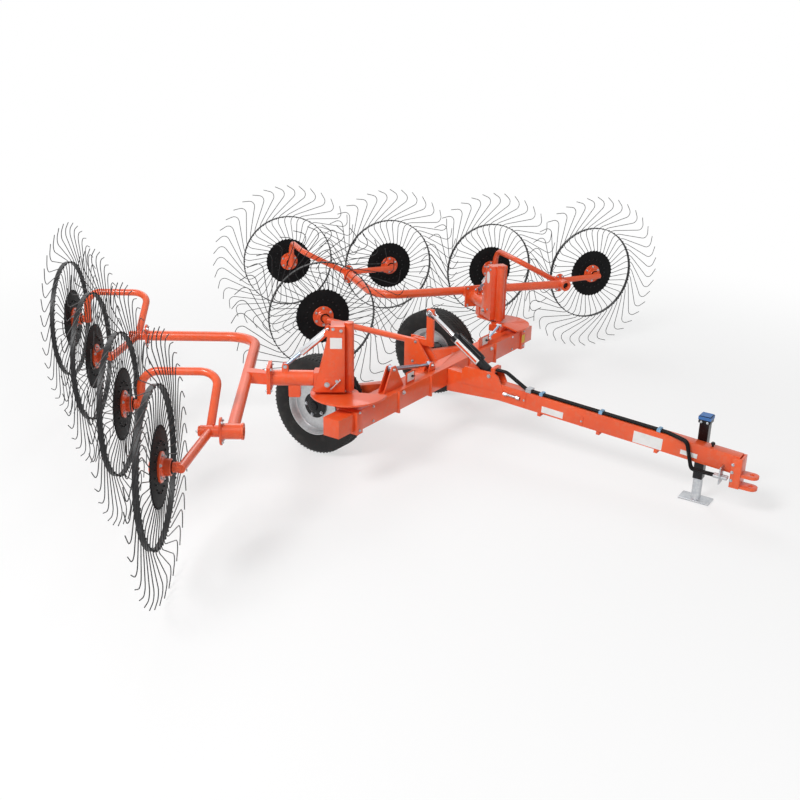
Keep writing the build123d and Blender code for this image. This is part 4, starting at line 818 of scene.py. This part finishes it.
def arm_parts():
    face = wing(ARM_ALONG, JOINT_SETBACK, ARM_HEIGHT)
    eye = wing(ARM_ALONG, EYE_FROM, ARM_HEIGHT)
    parts = [
        box_at(face, -rearward, PLATE_WIDTH, PLATE_HEIGHT, FLANGE),
        rod(face, eye + rearward * MM, ARM_TUBE, steps=40),
        weld(face - rearward * FLANGE, rearward, ARM_TUBE, ARM_BEAD),
        box_at(eye, -rearward, EYE_WIDTH, EYE_HEIGHT, EYE_TO - EYE_FROM, 5 * MM),
        box_at(wing(ARM_ALONG, REST_SETBACK, REST_HEIGHT), -rearward, *REST_SIZE, 4 * MM),
    ]
    for side in (-1, 1):
        inner = wing(ARM_ALONG, LUG_SETBACK, LUG_PIN - LUG_DROP) + along * (side * LUG_INNER)
        lug = prism(slot_outline(LUG_HEIGHT, LUG_WIDTH), LUG_THICK, SOFT)
        parts.append((lug, upright(inner, along * side)))
    return parts


def wing_fixings():
    parts = []
    for _, step, setback in PAIRS:
        step += PIVOT_ALONG
        for x, z in four(FLANGE_BOLT_X, FLANGE_BOLT_Z):
            spot = wing(step + x, setback + FLANGE_BACK, HUB_HEIGHT + z)
            parts.append(bolt_at(spot, -rearward, 9 * MM))
        parts.append(bolt_at(wing(step, setback + CAP_BACK), rearward, 12 * MM))
    for x, z in four(PLATE_BOLT_X, PLATE_BOLT_Z):
        for heading, face in ((rearward, JOINT_SETBACK - FLANGE), (-rearward, JOINT_SETBACK + FLANGE)):
            spot = wing(ARM_ALONG + x, face, ARM_HEIGHT + z)
            parts.append(bolt_at(spot, heading, 9 * MM))
    for turn in (-1, 1):
        spot = wing(ARM_ALONG, LUG_SETBACK, LUG_PIN) + along * (turn * (LUG_INNER + LUG_THICK))
        parts.append(bolt_at(spot, along * turn, 11 * MM))
    return parts


for side, sign in SIDES:
    home = to_side(HOME, sign)
    body = f"{side}_wing"
    for node, step, setback in PAIRS:
        name = f"{side}_{node}"
        shaped(f"{name}_skin", rocker_parts(step, setback), home, ORANGE, name, (name,))
    for node, parts in (("beam", beam_parts()), ("arm", arm_parts())):
        shaped(f"{side}_{node}_skin", parts, home, ORANGE, body, (f"{side}_{node}",))
    shaped(f"{side}_wing_bolts", wing_fixings(), home, ZINC, body)
    # Painted shade: a thin black disc just over the floor of the socket's bore stands in for the shade deep
    # inside it
    front = wing(FRONT_PIVOT, CLAMP_FROM + CLAMP_LENGTH - CLAMP_DEPTH + 2 * MM)
    painted_bore_shade = rod(front, front - rearward * 1.5 * MM, CLAMP_BORE - 0.5 * MM, soft=0.2 * MM)
    shaped(f"{side}_beam_painted_bore_shade", (painted_bore_shade,), home, CYLINDER_BLACK, body)


# Hoses: smooth lines from the fitting along the drawbar and down to the coupler rack

# Stops by reach and height; each hose by its x along the drawbar and at the rack
DECK_STOPS = ((2.910, 0.592), (2.985, 0.592), (3.150, 0.5015), (4.150, 0.4425))
RACK_STOPS = ((4.300, 0.435), (4.345, 0.262), (4.490, 0.262))
HOSE_LINES = ((-6 * MM, -60 * MM), (-26 * MM, -84 * MM))
HOSE_RADIUS = 8 * MM
BEND_REACH = 42 * MM


def smooth_cord(stops):
    """A hose on a NURBS line, with points on its straight runs that hold them straight."""
    route = [stops[0]]
    for start, end in zip(stops, stops[1:]):
        run = end - start
        held = run.normalized() * min(BEND_REACH, run.length / 3)
        route += [start + held, end - held, end]
    curve = bpy.data.curves.new("hose_line", "CURVE")
    curve.dimensions = "3D"
    curve.bevel_depth = HOSE_RADIUS
    curve.bevel_resolution = 5
    curve.use_fill_caps = True
    line = curve.splines.new("NURBS")
    line.points.add(len(route) - 1)
    for point, place in zip(line.points, route):
        point.co = (*place, 1)
    line.order_u = 4
    line.resolution_u = 12
    line.use_endpoint_u = True
    mesh = worked_out(in_scene("hose_line", curve))
    bpy.data.curves.remove(curve)
    return smoothed(mesh, sharp=50)


hose_meshes = []
for deck_x, rack_x in HOSE_LINES:
    stops = [reach_at(deck_x, *stop) for stop in DECK_STOPS]
    stops += [reach_at(rack_x, *stop) for stop in RACK_STOPS]
    hose_meshes.append(smooth_cord(stops))
piece("hoses_skin", joined(*hose_meshes), HOME, HOSE, "cart", ("hoses",))


# Trim: fixings seated on the frame's own faces, blank decals, clips and caps

FACES = {}
CAST_FROM = 0.3
SHEET = 0.6 * MM
BEAM_NODES = ("cross_beam", "left_extension", "right_extension")
BEAM_FACE = reach_at(0, 2.458, 0).y
SLOPE = math.radians(3.4)
DOWN_SLOPE = Vector((0, -math.cos(SLOPE), -math.sin(SLOPE)))
DECK_NORMAL = Vector((0, -math.sin(SLOPE), math.cos(SLOPE)))
DECK_MIDDLE, DECK_MIDDLE_REACH = 0.468, 2.5265
ABOVE_DECK = 0.9


def seat(names, start, heading):
    """Where a line first meets one of the nodes, or None."""
    best = None
    for name in names:
        if name not in FACES:
            shape = bmesh.new()
            shape.from_mesh(nodes[name].data)
            FACES[name] = BVHTree.FromBMesh(shape)
            shape.free()
        place, _, _, reach = FACES[name].ray_cast(start, heading)
        if place is not None and (best is None or reach < best[1]):
            best = (place, reach)
    return best and best[0]


def seated(names, spots, outward, size):
    """Bolts on the first faces met from outside; a spot with no face there gets none."""
    places = [seat(names, spot + outward * CAST_FROM, -outward) for spot in spots]
    return [bolt_at(place, outward, size) for place in places if place is not None]


def decal(names, spot, x_dir, outward, width, height):
    """A thin blank sheet laid on a face."""
    place = seat(names, spot + outward * CAST_FROM, -outward)
    return slab(width, height, SHEET), stand(place, x_dir, outward)


def on_beam(x, z):
    return Vector((x, BEAM_FACE, z))


def beside_deck(reach, drop, x=0):
    """A place a little under the middle of the drawbar's side."""
    return reach_at(x, reach, DECK_MIDDLE - (reach - DECK_MIDDLE_REACH) * math.tan(SLOPE) - drop)


def on_deck(x, reach):
    return seat(("drawbar",), reach_at(x, reach, ABOVE_DECK), -UP)


def wing_nut():
    wings = slab(34 * MM, 5 * MM, 12 * MM, 1.5 * MM)
    core = turned(in_mm((0, 0), (9, 0), (7, 12), (0, 12)), steps=16)
    return gathered(((core, HOME), (wings, Matrix.Translation((0, 0, 6 * MM)))))


BRACKET = ("left_bracket",)
# Places on it by setback and height
BRACKET_BOLTS = ((1.964, 1.031), (2.013, 1.021), (1.985, 0.690))
BRACKET_PIN, PLATE_SPOT = (1.924, 0.670), (1.934, 0.765)
LABEL_SPOT, OVAL_SPOT = (1.982, 0.940), (1.972, 0.950)
LABEL_SIZE, OVAL_SIZE = (74 * MM, 71 * MM), (95 * MM, 56 * MM)
BRACKET_PLATE = (80 * MM, 96 * MM, 2 * MM, 0.8 * MM)
LATCH_ALONG, LATCH_ROD, LATCH_LEG = ARM_ALONG + 78 * MM, 5 * MM, 20 * MM
latch_ends = wing(LATCH_ALONG, 1.949, 0.640), wing(LATCH_ALONG, 2.006, 0.700)
for side, sign in SIDES:
    home = to_side(HOME, sign)
    body = body_of(nodes[f"{side}_bracket"])[0]
    fixings = [rod(*latch_ends, LATCH_ROD, steps=12)]
    fixings += [rod(end - along * LATCH_LEG, end, LATCH_ROD, steps=12) for end in latch_ends]
    for outward in (along, -along):
        fixings += seated(BRACKET, [wing(ARM_ALONG, *spot) for spot in BRACKET_BOLTS], outward, 9 * MM)
        fixings += seated(BRACKET, (wing(ARM_ALONG, *BRACKET_PIN),), outward, 15 * MM)
    oval_place = seat(BRACKET, wing(ARM_ALONG - CAST_FROM, *OVAL_SPOT), along)
    sheets = (
        decal(BRACKET, wing(ARM_ALONG, *LABEL_SPOT), rearward, along, *LABEL_SIZE),
        (prism(slot_outline(*OVAL_SIZE), SHEET), upright(oval_place, -along)),
    )
    plate_place = seat(BRACKET, wing(ARM_ALONG + CAST_FROM, *PLATE_SPOT), -along)
    plate = (slab(*BRACKET_PLATE), upright(plate_place, along))
    shaped(f"{side}_bracket_fixings", fixings, home, ZINC, body)
    shaped(f"{side}_bracket_decals", sheets, home, BLANK, body)
    shaped(f"{side}_bracket_plate", (plate,), home, ORANGE, body)

# Fixings of the cart: nodes, size, outward directions and places
BARREL_PIN = Vector(joints["cylinder_turn"]["pos_m"])
BEAM_BOLTS = [on_beam(x, z) for x in (-1.093, 1.093) for z in (0.530, 0.411)]
BEAM_BOLTS += [on_beam(x, z) for x in (-0.93, 0.93) for z in (0.52, 0.42)]
TIE_BOLTS = (on_beam(-0.641, 0.676), on_beam(-0.172, 0.578))
HITCH_BOLTS = [reach_at(0, 4.592, height) for height in (0.350, 0.299, 0.245)]
POST_BOLTS = (reach_at(0, 2.256, 0.674), reach_at(0, 2.234, 0.526))
CART_BOLTS = (
    (BEAM_NODES, 8 * MM, (FORWARD,), BEAM_BOLTS),
    (BEAM_NODES, 13 * MM, (FORWARD,), (on_beam(-0.59, 0.512), on_beam(0.59, 0.512))),
    (("tie_ears", "tie_bar"), 12 * MM, (FORWARD, -FORWARD), TIE_BOLTS),
    (("hitch",), 9 * MM, (LEFT, -LEFT), HITCH_BOLTS),
    (("kicker_post",), 10 * MM, (LEFT, -LEFT), POST_BOLTS),
    (("drawbar",), 13 * MM, (LEFT, -LEFT), (BARREL_PIN,)),
)
fixings, dark, sheets, clips, painted = [], [], [], [], []
for names, size, headings, spots in CART_BOLTS:
    for outward in headings:
        fixings += seated(names, spots, outward, size)

# Blank sheets on the drawbar's near side: reach, drop, width and height
for reach, drop, width, height in (
    (3.36, 0.026, 0.16, 0.045),
    (4.037, 0.015, 0.195, 0.078),
    (4.31, 0.02, 0.11, 0.03),
):
    sheets.append(decal(("drawbar",), beside_deck(reach, drop), DOWN_SLOPE, -LEFT, width, height))

CLIP_WIDTH, CLIP_LENGTH, CLIP_HEIGHT = 50 * MM, 24 * MM, 25 * MM
CLIP_X, CLIP_REACHES = -15.5 * MM, (3.266, 3.7, 4.1)
for reach in CLIP_REACHES:
    deck = stand(on_deck(CLIP_X, reach), LEFT, DECK_NORMAL)
    clips.append((slab(CLIP_WIDTH, CLIP_LENGTH, CLIP_HEIGHT, 3 * MM), deck))
    fixings.append((bolt(5 * MM), deck @ Matrix.Translation((0, 0, CLIP_HEIGHT))))

# Straps on its near side: reach, drop and height
STRAP_WIDTH, STRAP = 24 * MM, 4 * MM
for reach, drop, height in ((3.145, 0.002, 0.108), (3.575, 0.024, 0.070)):
    place = seat(("drawbar",), beside_deck(reach, drop, -CAST_FROM), LEFT)
    painted.append((slab(STRAP_WIDTH, height, STRAP, 1 * MM), stand(place, DOWN_SLOPE, -LEFT)))
    fixings.append(bolt_at(place - LEFT * STRAP, -LEFT, 6 * MM))

# A short pipe beside its rear end with a nut at each end, and a valve block on top
PIPE, NUT, NUT_LENGTH = 8 * MM, 13 * MM, 26 * MM
VALVE, VALVE_X, VALVE_REACH = (56 * MM, 40 * MM, 29 * MM, 2 * MM), -16 * MM, 3.172
pipe_ends = reach_at(-0.050, 2.989, 0.447), reach_at(-0.050, 3.113, 0.439)
fixings.append(rod(*pipe_ends, PIPE, steps=20))
for end, other in (pipe_ends, pipe_ends[::-1]):
    fixings.append((prism(hexagon(NUT), NUT_LENGTH, 1 * MM), facing(end, other - end)))
fixings.append((slab(*VALVE), stand(on_deck(VALVE_X, VALVE_REACH), LEFT, DECK_NORMAL)))

JACK_CAP, JACK_CAP_DEEP = (80 * MM, 80 * MM, 32 * MM, 6 * MM), 29 * MM
jack = [vertex.co for vertex in nodes["jack_tube"].data.vertices]
jack_top = max(point.z for point in jack)
cap = [point for point in jack if point.z > jack_top - 1 * MM]
cap_x, cap_y = ((max(p[axis] for p in cap) + min(p[axis] for p in cap)) / 2 for axis in (0, 1))
jack_cap = (slab(*JACK_CAP), Matrix.Translation((cap_x, cap_y, jack_top - JACK_CAP_DEEP)))
shaped("jack_cap_cover", (jack_cap,), HOME, BLUE, "cart")
jack_spots = [Vector((cap_x, cap_y + shift, jack_top - 38 * MM)) for shift in (-20 * MM, 20 * MM)]
fixings += seated(("jack_tube",), jack_spots, -LEFT, 7 * MM)
knob_place = seat(("drawbar", "jack_tube"), reach_at(0, 4.441, ABOVE_DECK), -UP)
knob_profile = in_mm((0, 0), (7, 0), (7, 10), (13, 14), (13, 24), (9, 28), (0, 28))
dark.append((turned(knob_profile, steps=20), Matrix.Translation(knob_place)))

# Small plates that stand on the cross beam, each with a blank sheet and a wing nut
PLATE_AHEAD, PLATE_TALL, PLATE = 30 * MM, 84 * MM, 6 * MM
PLATE_MIDDLE, SHEET_MIDDLE = 0.577, 0.580
SHEET_SIZE, NUT_SHIFT = (78 * MM, 60 * MM), 16 * MM
for middle, width, sheet_x in ((-0.46, 0.104, -0.46), (0.535, 0.150, 0.545)):
    plate_place = on_beam(middle, PLATE_MIDDLE) + FORWARD * PLATE_AHEAD
    painted.append((slab(width, PLATE_TALL, PLATE, 1 * MM), upright(plate_place, FORWARD)))
    sheet_place = on_beam(sheet_x, SHEET_MIDDLE) + FORWARD * (PLATE_AHEAD + PLATE)
    sheets.append((slab(*SHEET_SIZE, SHEET), upright(sheet_place, FORWARD)))
    dark.append((wing_nut(), facing(sheet_place + LEFT * NUT_SHIFT, FORWARD)))
yellow = decal(BEAM_NODES, on_beam(1.090, 0.470), LEFT, FORWARD, 50 * MM, 62 * MM)

# The far lock link: a round bar between two pins on painted blocks
LINK, LINK_PIN, PIN_HALF = 9 * MM, 12 * MM, 20 * MM
LINK_BLOCK = (26 * MM, 24 * MM)
link_ends = [on_beam(x, z) + FORWARD * 12 * MM for x, z in ((0.640, 0.572), (0.800, 0.636))]
for end, foot in zip(link_ends, (0.5365, 0.596)):
    fixings.append(rod(end - FORWARD * PIN_HALF, end + FORWARD * PIN_HALF, LINK_PIN, steps=20))
    block = slab(*LINK_BLOCK, end.z - foot, 1.5 * MM)
    painted.append((block, Matrix.Translation((end.x, end.y, foot))))

for name, parts, finish, slot in (
    ("cart_fixings", fixings, ZINC, "zinc"),
    ("cart_decals", sheets, BLANK, "frame_paint"),
    ("cart_yellow_plate", (yellow,), YELLOW, "frame_paint"),
    ("cart_dark_knobs", dark, CYLINDER_BLACK, "wheel_black"),
    ("cart_small_plates", painted, ORANGE, "frame_paint"),
    ("cart_hose_clips", clips, CLIP_BLUE, "zinc"),
    ("far_lock_link", (rod(*link_ends, LINK, steps=20),), BLUE_STEEL, "zinc"),
):
    shaped(name, parts, HOME, finish, "cart")

STROKE = Vector(joints["cylinder_slide"]["axis"])
CYLINDER_RADIUS = 34 * MM


def wrapped(start, end, lift, half_turn):
    """A strip laid round part of the barrel, facing the near side."""
    arc = [polar(1, half_turn * (step / 8 - 1)) for step in range(17)]
    outer, inner = CYLINDER_RADIUS + lift, CYLINDER_RADIUS - MM
    outline = [(outer * x, outer * y) for x, y, _ in arc] + [(inner * x, inner * y) for x, y, _ in arc[::-1]]
    return prism(outline, end - start), stand(BARREL_PIN + STROKE * start, -LEFT, STROKE)


label, stripe = wrapped(0.125, 0.345, 0.5 * MM, 40), wrapped(0.135, 0.335, 0.9 * MM, 13)
shaped("cylinder_label", (label,), HOME, BLANK, "cylinder_barrel")
shaped("cylinder_stripe", (stripe,), HOME, ORANGE, "cylinder_barrel")
ROD_PIN = reach_at(0, 2.349, 0.894)
pin_ends = []
for outward in (LEFT, -LEFT):
    pin_ends += seated(("cylinder_rod",), (ROD_PIN,), outward, 12 * MM)
shaped("cylinder_rod_pin_ends", pin_ends, HOME, ZINC, "cylinder_rod")


# Road wheels, about their own axis (z outwards)

TREAD_STEPS, LUG_FOOT, LUG_LEAN, LUG_SHIFT = 72, 0.3328, 25.0, 2.4
NUT_CIRCLE, NUT_SEAT = 0.072, 56 * MM
shoulder = in_mm(
    (204, -74), (212, -80), (232, -89), (262, -94.5), (288, -93),
    (306, -89), (318, -84), (328.5, -79), (334, -72),
)
tyre_profile = list(shoulder)
GROOVE_HALF = 5
for groove in (-48, -16, 16, 48):
    low, high = groove - GROOVE_HALF, groove + GROOVE_HALF
    tyre_profile += in_mm((337.5, low), (329, low + 1.6), (329, high - 1.6), (337.5, high))
tyre_profile += [(radius, -height) for radius, height in reversed(shoulder)]
tyre_profile += in_mm((198, 70), (198, -70))
TYRE_SKIN = finish_mesh(turned(tyre_profile, steps=128, closed=True), sharp=30)
lugs = []
for row, centre in enumerate((-62, -32, 0, 32, 62)):
    lug = prism(in_mm((-5, -13), (3, -13), (8, 13), (0, 13)), 6 * MM, MM)
    turn = Matrix.Rotation(math.radians(LUG_SHIFT * (row % 2)), 4, "Z")
    outward = stand((LUG_FOOT, 0, centre * MM), (0, 1, 0), LEFT)
    lean = Matrix.Rotation(math.radians(LUG_LEAN if centre > 0 else -LUG_LEAN), 4, "Z")
    lugs.append((lug, turn @ outward @ lean))
LUGS = repeated(gathered(lugs), TREAD_STEPS)

rim_profile = in_mm(
    (202.6, -85), (196, -85), (193, -70), (170, -52), (166, -10), (158, 26), (105, 31), (60, 36), (60, 44),
    (104, 43), (150, 40), (176, 36), (183, 44), (187, 66), (193, 76), (197, 85), (202.6, 85),
)
RIM_SKIN = finish_mesh(turned(rim_profile, steps=96, closed=True))
road_hub_profile = in_mm(
    (24, -54), (52, -54), (56, -50), (56, 50), (86, 50), (88, 56), (58, 58),
    (50, 66), (36, 68), (34, 78), (28, 80.5), (0, 80.5), (0, 50), (24, 50),
)
ROAD_HUB = finish_mesh(turned(road_hub_profile, steps=48, closed=True))
WHEEL_NUTS = repeated(moved(bolt(11 * MM), (NUT_CIRCLE, 0, NUT_SEAT)), 5)

road_place = stand(spin_place("left_road_wheel"), (0, 1, 0), LEFT)
for side, sign in SIDES:
    place, body = to_side(road_place, sign), f"{side}_road_wheel"
    for part, mesh, finish, slot, replaced in (
        ("tyre_skin", joined(TYRE_SKIN, LUGS), TYRE, "tyre_rubber", (f"{side}_tyre",)),
        ("rim_skin", RIM_SKIN.copy(), RIM_SILVER, "rim_silver", (f"{side}_rim",)),
        ("road_hub", ROAD_HUB.copy(), CYLINDER_BLACK, "wheel_black", ()),
        ("wheel_nuts", WHEEL_NUTS.copy(), ZINC, "zinc", ()),
    ):
        piece(f"{side}_{part}", mesh, place, finish, body, replaced)


# Camera, light and floor

VIEW_PLACE = reach_at(-5.618, 5.915, 2.801)
YAW, PITCH, ROLL = math.radians(-57.987), math.radians(20.712), math.radians(1.816)
SENSOR_WIDTH = 36.0
# In pixels of the picture: its width, the focal length and where the view's axis meets it
PICTURE, FOCAL = 800.0, 975.2
MIDDLE_X, MIDDLE_Y = 434.81, 393.67

ahead = Vector((-math.sin(YAW) * math.cos(PITCH), math.cos(YAW) * math.cos(PITCH), -math.sin(PITCH)))
right = Vector((math.cos(YAW), math.sin(YAW), 0))
above = right.cross(ahead)
level_right = right * math.cos(ROLL) + above * math.sin(ROLL)
level_above = above * math.cos(ROLL) - right * math.sin(ROLL)
view = bpy.data.cameras.new("camera")
camera = in_scene("camera", view)
camera_place = Matrix((level_right, level_above, -ahead)).transposed().to_4x4()
camera_place.translation = VIEW_PLACE
camera.matrix_world = camera_place
view.sensor_width = SENSOR_WIDTH
view.lens = FOCAL / PICTURE * SENSOR_WIDTH
view.shift_x = (PICTURE / 2 - MIDDLE_X) / PICTURE
view.shift_y = (MIDDLE_Y - PICTURE / 2) / PICTURE
view.clip_end = 200.0
bpy.context.scene.camera = camera


def any_ray(tree, *kinds):
    """1 where a ray is of one of these kinds, else 0."""
    path = tree.nodes.new("ShaderNodeLightPath")
    found = Value(tree, path.outputs[kinds[0]])
    for kind in kinds[1:]:
        found = found.maths("MAXIMUM", found, Value(tree, path.outputs[kind]))
    return found


def lamp(name, place, target, size, power):
    data = bpy.data.lights.new(name, "AREA")
    data.shape = "DISK"
    data.size = size
    data.energy = power
    thing = in_scene(name, data)
    thing.location = place
    thing.rotation_mode = "QUATERNION"
    thing.rotation_quaternion = (Vector(target) - Vector(place)).to_track_quat("-Z", "Y")


lamp("key", (-8.5, 0.5, 8.0), (0, 0, 0.5), 3.2, 790)
lamp("fill", (-4.0, -9.0, 5.0), (0, 0, 0.6), 7.0, 70)
lamp("rim", (5.0, 6.0, 8.0), (0, 0, 0.6), 6.0, 300)

FLOOR_RADIUS, FLOOR_DROP = 60.0, -3 * MM
# The floor's own light: pale near the part, growing to white in a ring round it
PALE, RING_MIDDLE, RING_WIDTH = 0.62, 4.6, 4.4

floor_mesh = finish_mesh(turned(((0, FLOOR_DROP), (FLOOR_RADIUS, FLOOR_DROP)), steps=64))
floor = in_scene("floor", floor_mesh)
ground = Finish("pale_floor", (0.9, 0.9, 0.9), 0.95)
tree = ground.tree
from_middle = make_node(tree, "ShaderNodeVectorMath", "Value", {0: ground.place}, operation="LENGTH")
whiteness = from_middle.over(RING_MIDDLE, RING_WIDTH) * (1 - PALE) + PALE
plain = whiteness * any_ray(tree, "Is Camera Ray", "Is Glossy Ray")
glow = make_node(tree, "ShaderNodeEmission", "Emission", {"Strength": 1.0})
lit = Value(tree, ground.shader.outputs["BSDF"])
mixed = make_node(tree, "ShaderNodeMixShader", "Shader", {0: plain, 1: lit, 2: glow})
feed(tree, tree.nodes["Material Output"].inputs["Surface"], mixed)
floor_mesh.materials.append(ground.material)

SKY_LIGHT = 0.34  # what the sky gives the part; seen directly or in gloss it is white

world = bpy.data.worlds.new("studio")
world.use_nodes = True
bpy.context.scene.world = world
sky = world.node_tree
background = sky.nodes["Background"]
shown = any_ray(sky, "Is Camera Ray", "Is Glossy Ray", "Is Transmission Ray")
background.inputs["Color"].default_value = (1, 1, 1, 1)
feed(sky, background.inputs["Strength"], SKY_LIGHT + shown * (1 - SKY_LIGHT))
bpy.context.scene.view_settings.view_transform = "Standard"
